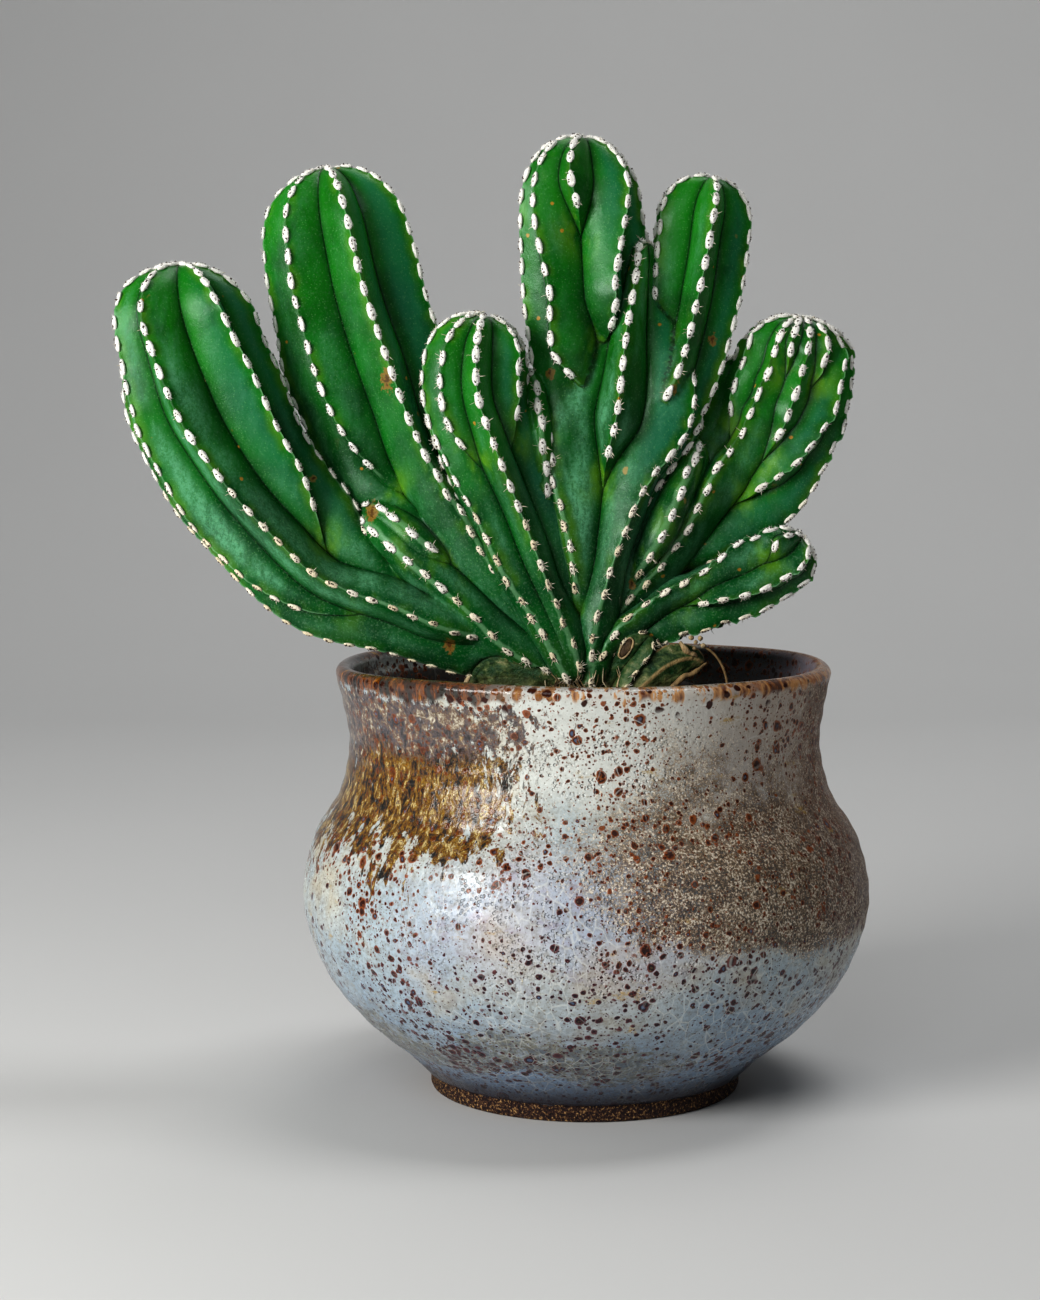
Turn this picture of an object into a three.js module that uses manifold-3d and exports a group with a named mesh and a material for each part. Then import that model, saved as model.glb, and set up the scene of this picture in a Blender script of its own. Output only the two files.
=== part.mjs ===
// A crested fence post cactus in a round glazed pot, in millimetres, +Z up.
// The origin is the centre of the pot's flat foot. The viewer stands on the -Y side, +X is to the right.
import * as THREE from 'three';
import * as BufferGeometryUtils from 'three/addons/utils/BufferGeometryUtils.js';
import Module from 'manifold-3d';

const wasm = await Module();
wasm.setup();

const { degToRad, lerp, clamp } = THREE.MathUtils;

// Pot
const footRadius = 41.5;
const footBandHeight = 4.5;
const bellyRadius = 75.5;
const bellyHeight = 51;
const neckRadius = 62.7;
const neckHeight = 92.5;
const rimRadius = 66;
const rimHeight = 114;
const wall = 4.8;
const floorThickness = 8;
const potSegments = 42;
const outerWallSteps = 12;
const innerWallSteps = 8;

// Soil
const soilHeight = 102;
const soilGap = 0.55;
const soilSegments = 30;
const soilWave = 0.7;
const gritCount = 26;
const gritSize = [1.6, 3];

// Stem in its hole
const stemRadius = 8.2;
const stemDepth = 12;
const stemSides = 16;
const stemOverlap = 6;
const holeGap = 0.45;

// Cactus
const ringSpacing = 11;
const domeRings = 3;
const frontFlankSteps = 2;
const backFlankSteps = 1;
const backAngle = 100;
const grooveDepth = 0.72;
const flankPower = 1.6;
const domePower = 2.2;
const emergePower = 1.7;
const emergeRamp = 0.16;

// Areoles: woolly pads on the rib crests, true in size and further apart than on the plant
const areole = { length: 4.6, width: 2.6, proud: 1.4, margin: 0.4, leastEmerged: 0.55 };

const materials = {
  pot: new THREE.MeshStandardMaterial({ color: 0xa8a29a, roughness: 0.3, metalness: 0 }),
  soil: new THREE.MeshStandardMaterial({ color: 0x2b231d, roughness: 0.95, metalness: 0 }),
  cactus: new THREE.MeshStandardMaterial({ color: 0x2f6b35, roughness: 0.55, metalness: 0 }),
};

// A seeded draw, the same on every run
function seededRandom(seed) {
  let state = seed;
  return () => {
    state = (state * 1664525 + 1013904223) % 4294967296;
    return state / 4294967296;
  };
}

// One rib: crest angles from the lobe's base to its tip, in degrees from the viewer (+90 is right),
// and the share of the length where the rib starts out of the groove between its neighbours
function rib(angles, start = -1, ramp = emergeRamp) {
  return { angles, start, ramp };
}

// One lobe: spine points of x, y, z, half width and half depth, the length of its domed tip, and ribs
function lobe(spine, dome, ribs, groove = grooveDepth) {
  return { spine, dome, ribs, groove };
}

const lobes = {
  farLeft: lobe([
    [-2, 0, 111.5, 8, 9], [-25, -1, 122, 11, 11], [-47.5, -1, 130, 14.5, 13], [-67, 0, 135.5, 16.5, 15.5],
    [-80, 0, 149, 18.5, 17.5], [-92.5, 0, 166.5, 20, 18.5], [-101.5, 0, 183.5, 20.5, 19],
    [-106, 0, 203, 19.5, 18.5], [-107, 0, 218.5, 18, 17.5],
  ], 17, [
    rib([-85, -80, -62, -80, -102, -118]), rib([-45, -45, -45, -67, -54, -66], 0.36),
    rib([-14, -14, 2, -8, -17, -32], 0.1), rib([49, 49, 49, 49, 49, 32], 0.46),
    rib([72, 76, 80, 86, 88, 82], 0.26), rib([125, 130, 138, 140]), rib([185, 192, 195]),
  ]),
  left: lobe([
    [-4, 2, 110, 8, 9], [-28, 4, 135, 13, 13], [-38.5, 5, 150, 16, 14.5], [-50, 6, 169.5, 19.5, 17],
    [-57, 6, 189, 20.5, 18], [-62.5, 6, 209, 21, 18], [-66, 6, 227, 19.5, 17.5], [-69, 6, 244, 18, 16],
  ], 17, [
    rib([-80, -85, -90]), rib([-25, -25, -26, -35, -40, -38], 0.42), rib([30, 28, 22, 18, 14, 12]),
    rib([75]), rib([124]), rib([176]), rib([225]),
  ]),
  leftWeb: lobe([
    [-8, 0, 112, 8, 8], [-20, 0, 121, 11.5, 10], [-32, 0, 131, 13.5, 11], [-44, 0, 142, 13, 11],
    [-57, 0, 153, 11, 10],
  ], 10, [
    rib([-12, -10, -14]), rib([22], 0.62), rib([85]), rib([150]), rib([215]), rib([270]),
  ]),
  middle: lobe([
    [-3, -3, 112, 8, 8], [-14, -6, 140, 10.5, 10], [-20.5, -8, 158, 12, 11.5], [-25.5, -9, 172, 13, 13],
    [-29, -9, 184, 13.6, 13.5], [-28.5, -9, 195, 13, 13], [-26.5, -9, 205, 12, 12],
  ], 11, [
    rib([-15, -28, -48, -65, -82, -88]), rib([-40], 0.6), rib([8, 10, 10, 6, 3, -5]),
    rib([60, 60, 58], 0.62), rib([100]), rib([150]), rib([210]), rib([265]),
  ]),
  middleWeb: lobe([
    [-10, -1, 148, 4, 5], [-12, -2, 160, 7, 7], [-13, -2, 175, 8, 7.5], [-14.5, -1, 190, 6, 6],
  ], 6, [
    rib([5]), rib([95]), rib([180]), rib([270]),
  ]),
  trunk: lobe([
    [1, 0, 104, 7, 9], [2, 0, 119, 9, 11], [3.5, -1, 135, 11.5, 12], [5, -1, 151, 15, 14],
    [6.5, -1, 166, 18, 15], [10, -1, 182, 21, 14], [13, -1, 199, 17, 13], [14.5, 1, 213, 11, 12],
    [15.5, 3, 225, 7, 9],
  ], 8, [
    rib([-25, -28, -42, -75, -90, -95], 0.16), rib([-5, -5, -5, -5, -9, -10], 0.46),
    rib([-10, 0, 20, 52, 80, 85]), rib([95, 95, 100, 120]), rib([165]), rib([225]), rib([268, 262]),
  ]),
  tall: lobe([
    [4, 3, 154, 8, 9], [3, 2, 170, 12, 12], [1.5, 0, 183, 14.5, 14.5], [1, 0, 203, 17, 16],
    [-1, 0, 222, 17, 16], [-2, 0, 238, 16, 15], [-1, 0, 251.5, 14, 13.5],
  ], 16, [
    rib([-82, -82, -78, -76, -72, -68]), rib([-46, -46, -42, -36, -48, -54], 0.28),
    rib([-2, -2, -2, -2, -4, -18], 0.62), rib([20, 20, 20, 24, 46, 62], 0.42), rib([95]), rib([150]),
    rib([210]),
  ]),
  right: lobe([
    [9, 1, 156, 7, 8], [15, 2, 172, 11, 11.5], [20, 3, 182, 12, 12.5], [26, 3, 198, 12, 12.5],
    [29, 3, 214, 12, 12.5], [31, 3, 230, 12.5, 12.5], [33, 3, 241.5, 11.5, 11.5],
  ], 12, [
    rib([-72, -78], 0.62), rib([0, 0, 0, 0, 6, 8], 0.2), rib([40, 50, 66, 70, 78, 80]), rib([140]),
    rib([200]), rib([260]),
  ]),
  fan: lobe([
    [3, 4, 110, 7, 8], [9, 4, 123, 9, 9], [21.5, 5, 140, 11, 10], [34, 5, 153, 13.5, 10.5],
    [46.5, 6, 166, 16, 10.5], [53.5, 6, 184, 17, 10], [56, 6, 196, 15.5, 10], [57.5, 6, 205, 14, 9],
  ], 10, [
    rib([-60, -62, -64], 0.66), rib([-20, -18, -17, -38, -28, -24]), rib([-10], 0.85, 0.1),
    rib([2, 2, 2, 2, 3, 10], 0.64), rib([29], 0.84, 0.1), rib([10, 10, 10, 18, 48, 60], 0.52),
    rib([60, 65, 85], 0.3), rib([110]), rib([150]), rib([185]), rib([220]), rib([262]),
  ]),
  lowRight: lobe([
    [2, -3, 110, 7, 7], [18, -5, 126, 8, 8], [31, -6, 132, 9.5, 8.5], [43, -6, 137, 10.5, 8.5],
    [51, -6, 141.5, 9.5, 8], [56.5, -6, 147.5, 8, 7],
  ], 8, [
    rib([-30, -32, -34, -50, -64, -72]), rib([-30], 0.82, 0.12), rib([10, 10, 12, 14, 24, 40], 0.46),
    rib([60, 60, 65, 75]), rib([110]), rib([160]), rib([215]),
  ]),
  rightWeb: lobe([
    [12, -4, 140, 5, 6], [17, -5, 150, 7, 7], [22, -5, 160, 7, 7], [27, -4, 170, 6, 6],
  ], 7, [
    rib([5]), rib([110]), rib([230]),
  ]),
  offset: lobe([
    [4, -5, 109, 5.5, 5.5], [11, -8, 114, 6.5, 6.5], [16, -9, 120, 6, 6],
  ], 6, [
    rib([-60]), rib([-5]), rib([50]), rib([110]), rib([180]), rib([240]),
  ]),
  corkRight: lobe([
    [8, -11, 107.5, 3.6, 4], [19, -12, 109, 4.2, 4.5], [30, -10, 110, 3.6, 4],
  ], 4, [
    rib([-60]), rib([30]), rib([110]), rib([190]),
  ], 0.15),
  corkLeft: lobe([
    [-2, -3, 109, 5.5, 7], [-15, -4, 110.5, 6, 7], [-27, -3, 110, 5, 5.5],
  ], 5, [
    rib([-60]), rib([10]), rib([70]), rib([130]), rib([200]),
  ], 0.2),
};

// A lobe's sweep: where its spine is, how wide it is there, and which way its section faces
class Sweep {
  constructor(shape) {
    this.shape = shape;
    const points = shape.spine.map(([x, y, z]) => new THREE.Vector3(x, y, z));
    const halves = shape.spine.map(([, , , width, depth]) => new THREE.Vector3(width, depth, 0));
    this.path = new THREE.CatmullRomCurve3(points, false, 'catmullrom', 0.5);
    this.halves = new THREE.CatmullRomCurve3(halves, false, 'catmullrom', 0.5);
    this.length = this.path.getLength();
  }

  // Share of full width: 1 along the body, falling to 0 over the dome
  fullness(s) {
    const left = this.length * (1 - s);
    if (left >= this.shape.dome) return 1;
    const over = 1 - left / this.shape.dome;
    return Math.max(0, 1 - over ** domePower) ** (1 / domePower);
  }

  station(s) {
    const t = this.path.getUtoTmapping(s);
    const half = this.halves.getPoint(t);
    const full = this.fullness(s);
    const along = this.path.getTangent(t);
    const front = new THREE.Vector3(0, -1, 0);
    front.addScaledVector(along, -along.dot(front)).normalize();
    const side = new THREE.Vector3().crossVectors(along, front);
    return { centre: this.path.getPoint(t), along, front, side, width: half.x * full, depth: half.y * full };
  }

  crestAngle(index, s) {
    const { angles } = this.shape.ribs[index];
    const place = s * (angles.length - 1);
    const from = Math.min(Math.floor(place), angles.length - 1);
    const to = Math.min(from + 1, angles.length - 1);
    return lerp(angles[from], angles[to], place - from);
  }

  // How far a rib has come out of its groove, from 0 to 1
  emerged(index, s) {
    const { start, ramp } = this.shape.ribs[index];
    if (start < 0) return 1;
    const t = clamp((s - start) / ramp, 0, 1);
    return 1 - (1 - t) ** emergePower;
  }

  // Crests and grooves of one section when only the listed ribs stand out
  // each entry is [crest angle, crest drop, groove angle, groove drop], in degrees
  plainSection(s, active) {
    const { ribs } = this.shape;
    const rows = new Array(ribs.length);
    active.forEach((index, order) => {
      const next = active[(order + 1) % active.length];
      const here = this.crestAngle(index, s);
      const there = this.crestAngle(next, s) + (next <= index ? 360 : 0);
      const middle = (here + there) / 2;
      const drop = (there - here) / 2;
      rows[index] = [here, 0, middle, drop];
      for (let hidden = (index + 1) % ribs.length; hidden !== next; hidden = (hidden + 1) % ribs.length) {
        const turn = hidden <= index ? 360 : 0;
        rows[hidden] = [middle - turn, drop, middle - turn, drop];
      }
    });
    return rows;
  }

  // The section at s, with ribs that are only partly out mixed between out and not out
  section(s) {
    const all = this.shape.ribs.map((_, index) => index);
    const share = all.map((index) => this.emerged(index, s));
    const mix = (active, unsettled) => {
      if (unsettled.length === 0) return this.plainSection(s, active);
      const [index, ...rest] = unsettled;
      const out = mix(active, rest);
      const hidden = mix(active.filter((other) => other !== index), rest);
      return out.map((row, k) => row.map((value, j) => lerp(hidden[k][j], value, share[index])));
    };
    const active = all.filter((index) => share[index] > 0);
    return { rows: mix(active, active.filter((index) => share[index] < 1)), share };
  }

  place(station, angle, dropDegrees) {
    const turn = degToRad(angle);
    const side = station.width * Math.sin(turn);
    const front = station.depth * Math.cos(turn);
    const radius = Math.hypot(side, front) + 1e-9;
    const drop = this.shape.groove * degToRad(dropDegrees) * (station.width + station.depth) / 2;
    const share = 1 - Math.min(drop, 0.75 * radius) / radius;
    return station.centre.clone()
      .addScaledVector(station.side, side * share)
      .addScaledVector(station.front, front * share);
  }

  // Flank steps beside each rib: the ribs that face the viewer get more
  flankSteps(index) {
    const { angles } = this.shape.ribs[index];
    const middle = angles[Math.floor(angles.length / 2)];
    return Math.cos(degToRad(middle)) > Math.cos(degToRad(backAngle)) ? frontFlankSteps : backFlankSteps;
  }

  // The place of each rib's crest in a ring of points
  crestColumns() {
    let column = 0;
    return this.shape.ribs.map((_, index) => {
      const here = column;
      column += 2 * this.flankSteps(index);
      return here;
    });
  }

  // One ring of points: crest, flank, groove, flank, and on to the next crest
  ring(s) {
    const station = this.station(s);
    const { rows } = this.section(s);
    const points = [];
    rows.forEach(([crest, crestDrop, groove, grooveDrop], index) => {
      const last = index === rows.length - 1;
      const nextCrest = rows[last ? 0 : index + 1][0] + (last ? 360 : 0);
      const nextDrop = rows[last ? 0 : index + 1][1];
      const steps = this.flankSteps(index);
      for (let step = 0; step < steps; step += 1) {
        const t = step / steps;
        const drop = lerp(crestDrop, grooveDrop, t ** flankPower);
        points.push(this.place(station, lerp(crest, groove, t), drop));
      }
      for (let step = steps; step > 0; step -= 1) {
        const t = step / steps;
        const drop = lerp(nextDrop, grooveDrop, t ** flankPower);
        points.push(this.place(station, lerp(nextCrest, groove, t), drop));
      }
    });
    return points;
  }

  stations() {
    const domeStart = 1 - this.shape.dome / this.length;
    const bodyRings = Math.max(2, Math.round(this.length * domeStart / ringSpacing));
    const body = Array.from({ length: bodyRings }, (_, i) => domeStart * i / bodyRings);
    const dome = Array.from({ length: domeRings + 1 }, (_, i) => (
      domeStart + (1 - domeStart) * Math.sin(degToRad(78 * i / domeRings))));
    return body.concat(dome);
  }
}

// A closed skin over rings of points, with a point at each end
// pads holds, by ring and column, the woolly pads that stand on the crest edge above that ring
function skinOverRings(rings, firstPoint, lastPoint, pads = new Map()) {
  const size = rings[0].length;
  const points = [firstPoint, ...rings.flat(), lastPoint];
  const tip = points.length - 1;
  const indices = [];
  const at = (ring, column) => 1 + ring * size + (column % size);
  const padCorners = new Map();
  pads.forEach((pad, key) => {
    padCorners.set(key, points.length);
    points.push(pad.start, pad.nextSide, pad.end, pad.previousSide, pad.peak);
  });
  // The points up a column from one ring to the next, round the pad if one stands there
  const chain = (ring, column, towardsNext) => {
    const ends = [at(ring, column), at(ring + 1, column)];
    const pad = padCorners.get(`${ring} ${column % size}`);
    if (pad === undefined) return ends;
    return [ends[0], pad, pad + (towardsNext ? 1 : 3), pad + 2, ends[1]];
  };
  for (let column = 0; column < size; column += 1) {
    indices.push(0, at(0, column + 1), at(0, column));
    for (let ring = 0; ring < rings.length - 1; ring += 1) {
      const a = chain(ring, column, true);
      const b = chain(ring, column + 1, false);
      if (a.length > 2) {
        indices.push(a[0], b[0], a[1], a[1], b[0], a[2], a[2], b[0], b[1], a[2], b[1], a[3], a[3], b[1], a[4]);
      } else if (b.length > 2) {
        indices.push(a[0], b[0], b[1], a[0], b[1], b[2], a[0], b[2], a[1], a[1], b[2], b[3], a[1], b[3], b[4]);
      } else {
        indices.push(a[0], b[0], b[1], a[0], b[1], a[1]);
      }
    }
    indices.push(at(rings.length - 1, column), at(rings.length - 1, column + 1), tip);
  }
  padCorners.forEach((first) => {
    const peak = first + 4;
    for (let side = 0; side < 4; side += 1) indices.push(first + side, first + ((side + 1) % 4), peak);
  });
  const geometry = new THREE.BufferGeometry().setFromPoints(points);
  geometry.setIndex(indices);
  return geometry;
}

// A solid from a closed geometry: shared points are merged, and triangles that lost their area go
function toSolid(source) {
  const bare = source.clone();
  bare.deleteAttribute('normal');
  bare.deleteAttribute('uv');
  const merged = BufferGeometryUtils.mergeVertices(bare, 1e-4);
  const index = merged.index.array;
  const kept = [];
  for (let i = 0; i < index.length; i += 3) {
    const [a, b, c] = [index[i], index[i + 1], index[i + 2]];
    if (a !== b && b !== c && c !== a) kept.push(a, b, c);
  }
  return new wasm.Manifold(new wasm.Mesh({
    numProp: 3,
    vertProperties: new Float32Array(merged.attributes.position.array),
    triVerts: new Uint32Array(kept),
  }));
}

// The largest closed shell of a solid: scraps are dropped, and hollows that the joining sealed are filled
function outerShell(solid) {
  const { vertProperties, triVerts, numProp } = solid.getMesh();
  const parent = Array.from({ length: vertProperties.length / numProp }, (_, i) => i);
  const root = (i) => {
    let at = i;
    while (parent[at] !== at) {
      parent[at] = parent[parent[at]];
      at = parent[at];
    }
    return at;
  };
  for (let i = 0; i < triVerts.length; i += 3) {
    parent[root(triVerts[i])] = root(triVerts[i + 1]);
    parent[root(triVerts[i + 1])] = root(triVerts[i + 2]);
  }
  const corner = (i) => new THREE.Vector3().fromArray(vertProperties, triVerts[i] * numProp);
  const volumes = new Map();
  for (let i = 0; i < triVerts.length; i += 3) {
    const shell = root(triVerts[i]);
    const volume = corner(i).dot(corner(i + 1).cross(corner(i + 2))) / 6;
    volumes.set(shell, (volumes.get(shell) ?? 0) + volume);
  }
  const largest = [...volumes.entries()].sort((a, b) => b[1] - a[1])[0][0];
  const kept = [];
  for (let i = 0; i < triVerts.length; i += 3) {
    if (root(triVerts[i]) === largest) kept.push(triVerts[i], triVerts[i + 1], triVerts[i + 2]);
  }
  const geometry = new THREE.BufferGeometry();
  geometry.setAttribute('position', new THREE.BufferAttribute(new Float32Array(vertProperties), numProp));
  geometry.setIndex(kept);
  const flat = geometry.toNonIndexed();
  return BufferGeometryUtils.mergeVertices(flat, 1e-5);
}

function joinAll(solids) {
  return solids.reduce((whole, solid) => whole.add(solid));
}

// Pot: a thrown round body, neck and rounded rim, open at the top, standing on a flat foot
function potOuterWall() {
  return new THREE.SplineCurve([
    [footRadius + 0.8, footBandHeight], [48.8, 11], [60, 20.5], [70, 33.5], [bellyRadius, bellyHeight],
    [72.6, 67.5], [65.6, 79.5], [neckRadius, neckHeight], [64, 103], [rimRadius - 0.2, 111],
  ].map(([r, z]) => new THREE.Vector2(r, z))).getPoints(outerWallSteps);
}

function potInnerWall() {
  return new THREE.SplineCurve([
    [rimRadius - wall, 110.5], [neckRadius + 1.2 - wall, 103], [neckRadius - wall, neckHeight],
    [66 - wall, 78.5], [bellyRadius - wall, bellyHeight], [68.5 - wall, 34], [55, 19], [42, 11.5],
    [30, floorThickness],
  ].map(([r, z]) => new THREE.Vector2(r, z))).getPoints(innerWallSteps);
}

function makePot() {
  const rimCentre = new THREE.Vector2(rimRadius - wall / 2 - 0.1, rimHeight - wall / 2);
  const rimSteps = 4;
  const rim = Array.from({ length: rimSteps + 1 }, (_, i) => {
    const turn = Math.PI * i / rimSteps;
    return new THREE.Vector2(Math.cos(turn), Math.sin(turn)).multiplyScalar(wall / 2).add(rimCentre);
  });
  const profile = [
    new THREE.Vector2(0, 0),
    new THREE.Vector2(footRadius - 1, 0),
    new THREE.Vector2(footRadius, 1),
    new THREE.Vector2(footRadius, footBandHeight),
    ...potOuterWall().slice(0, -1),
    ...rim,
    ...potInnerWall().slice(1),
    new THREE.Vector2(0, floorThickness),
  ];
  return new THREE.LatheGeometry(profile, potSegments).rotateX(Math.PI / 2);
}

// Soil: fills the pot to below the rim, with a plain hole for the stem and grit on its top
function soilTop(x, y) {
  const wave = Math.sin(x / 7.3 + 1.1) * Math.cos(y / 8.9) + 0.5 * Math.sin((x + y) / 4.7);
  return soilHeight + soilWave * wave;
}

function makeSoil() {
  const wallPoints = potInnerWall();
  const below = wallPoints.findIndex(({ y }) => y < soilHeight);
  const [over, under] = [wallPoints[below - 1], wallPoints[below]];
  const brim = over.clone().lerp(under, (over.y - soilHeight) / (over.y - under.y));
  const side = [brim, ...wallPoints.slice(below, -1)].map(({ x, y }) => (
    new THREE.Vector2(x - soilGap, Math.min(y + soilGap / 2, soilHeight))));
  const holeRadius = stemRadius + holeGap;
  const holeFloor = soilHeight - stemDepth - holeGap;
  const tops = [46, 35, 24, 15, holeRadius].map((r) => new THREE.Vector2(r, soilHeight));
  const profile = [
    new THREE.Vector2(0, floorThickness + 0.35),
    new THREE.Vector2(28, floorThickness + 0.35),
    ...side.reverse(),
    ...tops,
    new THREE.Vector2(holeRadius, holeFloor),
    new THREE.Vector2(0, holeFloor),
  ];
  const body = new THREE.LatheGeometry(profile, soilSegments).rotateX(Math.PI / 2);
  const position = body.attributes.position;
  for (let i = 0; i < position.count; i += 1) {
    if (position.getZ(i) > soilHeight - 0.01) {
      position.setZ(i, soilTop(position.getX(i), position.getY(i)));
    }
  }
  const random = seededRandom(41);
  const grit = [];
  while (grit.length < gritCount) {
    const angle = 2 * Math.PI * random();
    const reach = lerp(24, 50, Math.sqrt(random()));
    const size = lerp(gritSize[0], gritSize[1], random() ** 2);
    const x = reach * Math.cos(angle);
    const y = reach * Math.sin(angle);
    const stone = new THREE.OctahedronGeometry(size, 0)
      .scale(1, 0.8, 0.65)
      .rotateX(0.6 * random())
      .rotateZ(2 * Math.PI * random())
      .translate(x, y, soilTop(x, y) + 0.1 * size);
    if ((x / 38) ** 2 + (y / 24) ** 2 > 1) grit.push(toSolid(stone));
  }
  return outerShell(joinAll([toSolid(body), ...grit]));
}

// Whether a point lies inside a closed mesh, by counting the faces above it
function insideTest(geometry) {
  const mesh = new THREE.Mesh(geometry, new THREE.MeshBasicMaterial({ side: THREE.DoubleSide }));
  const ray = new THREE.Raycaster();
  const direction = new THREE.Vector3(0.031, -0.047, 1).normalize();
  return (point) => {
    ray.set(point, direction);
    return ray.intersectObject(mesh).length % 2 === 1;
  };
}

// Woolly pads for every crest edge of a lobe that is long enough and that no other lobe covers
function makePads({ sweep, stations, rings }, covered, random) {
  const pads = new Map();
  const half = areole.length / 2;
  sweep.crestColumns().forEach((column, index) => {
    for (let ring = 0; ring < rings.length - 1; ring += 1) {
      const from = rings[ring][column];
      const to = rings[ring + 1][column];
      const length = from.distanceTo(to);
      const slack = length - areole.length - 2 * areole.margin;
      const place = (half + areole.margin + slack * (0.25 + 0.5 * random())) / length;
      if (slack < 0 || sweep.emerged(index, stations[ring]) < areole.leastEmerged) continue;
      const size = rings[ring].length;
      const middle = from.clone().lerp(to, place);
      const along = to.clone().sub(from).normalize();
      const out = middle.clone().sub(sweep.station(stations[ring]).centre);
      out.addScaledVector(along, -out.dot(along)).normalize();
      const side = (neighbour) => {
        const flank = rings[ring][neighbour % size].clone().lerp(rings[ring + 1][neighbour % size], place);
        return middle.clone().addScaledVector(flank.sub(middle).normalize(), areole.width / 2);
      };
      const pad = {
        start: middle.clone().addScaledVector(along, -half),
        nextSide: side(column + 1),
        end: middle.clone().addScaledVector(along, half),
        previousSide: side(column + size - 1),
        peak: middle.clone().addScaledVector(out, areole.proud),
      };
      if (!covered(pad.peak) && !covered(pad.start) && !covered(pad.end)) pads.set(`${ring} ${column}`, pad);
    }
  });
  return pads;
}

function makeCactus() {
  const random = seededRandom(7);
  const sweeps = Object.values(lobes).map((shape) => {
    const sweep = new Sweep(shape);
    const stations = sweep.stations();
    const rings = stations.map((s) => sweep.ring(s));
    const ends = [sweep.path.getPoint(0), sweep.path.getPoint(1)];
    return { sweep, stations, rings, ends, inside: insideTest(skinOverRings(rings, ...ends)) };
  });
  const bodies = sweeps.map((lobeSweep) => {
    const others = sweeps.filter((other) => other !== lobeSweep);
    const covered = (point) => others.some((other) => other.inside(point));
    const woolly = lobeSweep.sweep.shape.groove === grooveDepth;
    const pads = woolly ? makePads(lobeSweep, covered, random) : new Map();
    return toSolid(skinOverRings(lobeSweep.rings, ...lobeSweep.ends, pads));
  });
  const stem = new THREE.CylinderGeometry(stemRadius, stemRadius - 1, stemDepth + stemOverlap, stemSides)
    .rotateX(Math.PI / 2)
    .translate(0, 0, soilHeight + (stemOverlap - stemDepth) / 2);
  return outerShell(joinAll([...bodies, toSolid(stem)]));
}

const plant = new THREE.Group();
[['pot', makePot()], ['soil', makeSoil()], ['cactus', makeCactus()]].forEach(([name, geometry]) => {
  const mesh = new THREE.Mesh(geometry, materials[name]);
  mesh.name = name;
  plant.add(mesh);
});

export default plant;
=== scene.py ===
# potted crested fence post cactus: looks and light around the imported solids
import math

import bmesh
import bpy
import numpy as np
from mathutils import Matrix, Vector, kdtree
from mathutils.bvhtree import BVHTree


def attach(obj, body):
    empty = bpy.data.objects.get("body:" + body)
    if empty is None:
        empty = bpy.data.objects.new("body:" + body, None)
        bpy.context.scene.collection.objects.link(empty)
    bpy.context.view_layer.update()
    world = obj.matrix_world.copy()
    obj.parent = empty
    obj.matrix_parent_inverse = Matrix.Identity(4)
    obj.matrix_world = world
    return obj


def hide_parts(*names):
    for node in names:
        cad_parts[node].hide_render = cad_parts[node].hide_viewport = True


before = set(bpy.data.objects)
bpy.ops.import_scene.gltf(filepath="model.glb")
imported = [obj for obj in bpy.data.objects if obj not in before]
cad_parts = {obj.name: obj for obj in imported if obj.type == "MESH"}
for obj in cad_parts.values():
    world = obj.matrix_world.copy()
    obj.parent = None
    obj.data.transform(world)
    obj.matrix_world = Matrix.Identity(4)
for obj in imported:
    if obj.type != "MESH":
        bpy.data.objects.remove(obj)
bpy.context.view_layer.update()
mm = 0.001  # sizes below are in millimetres, meshes in metres

# camera and light, as in the photograph

cameraSetup = dict(focal=2500, frameHeight=1300, left=17.5, away=663, height=180, pitch=5.43)


def addCamera(c):
    data = bpy.data.cameras.new("camera")
    # the sensor's width lies along the frame's height
    data.lens = data.sensor_width * c["focal"] / c["frameHeight"]
    camera = bpy.data.objects.new("camera", data)
    camera.location = (-c["left"] * mm, -c["away"] * mm, c["height"] * mm)
    camera.rotation_euler = (math.radians(90 - c["pitch"]), 0, 0)
    bpy.context.scene.collection.objects.link(camera)
    bpy.context.scene.camera = camera


lights = dict(
    key=dict(place=(-0.66, -0.58, 0.34), size=0.42, power=8.4, colour=(1, 0.985, 0.96)),
    side=dict(place=(-0.3, -1.2, 0.9), size=0.6, power=2.6, colour=(0.93, 0.97, 1)),
    top=dict(place=(0.05, 0.5, 1.3), size=0.7, power=3, colour=(1, 1, 1)),
    backdrop=dict(place=(0.6, 0.2, 1.9), size=0.8, power=12, colour=(1, 1, 1), aim=(0, 1.4, 0.3)),
)
studio = dict(aim=(-0.01, 0, 0.13), air=(0.9, 0.94, 1, 1), airPower=0.07, gamma=0.88, exposure=0.12)


def addLights():
    for name, c in lights.items():
        data = bpy.data.lights.new(name, "AREA")
        data.shape = "DISK"
        data.size = c["size"]
        data.energy = c["power"]
        data.color = c["colour"]
        lamp = bpy.data.objects.new(name, data)
        lamp.location = c["place"]
        aim = Vector(c.get("aim", studio["aim"]))
        lamp.rotation_euler = (aim - lamp.location).to_track_quat("-Z", "Y").to_euler()
        bpy.context.scene.collection.objects.link(lamp)
    world = bpy.data.worlds.new("studio")
    world.use_nodes = True
    background = world.node_tree.nodes["Background"]
    background.inputs[0].default_value = studio["air"]
    background.inputs[1].default_value = studio["airPower"]
    bpy.context.scene.world = world
    view = bpy.context.scene.view_settings
    view.view_transform = "Standard"
    view.gamma = studio["gamma"]  # deeper shadows
    view.exposure = studio["exposure"]


# small helpers for shader nodes

def tone(red, green, blue):  # screen colour, 0 to 255, as the shader wants it
    shares = [v / 255 for v in (red, green, blue)]
    return (*(v / 12.92 if v < 0.042 else ((v + 0.055) / 1.055) ** 2.4 for v in shares), 1)


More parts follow.
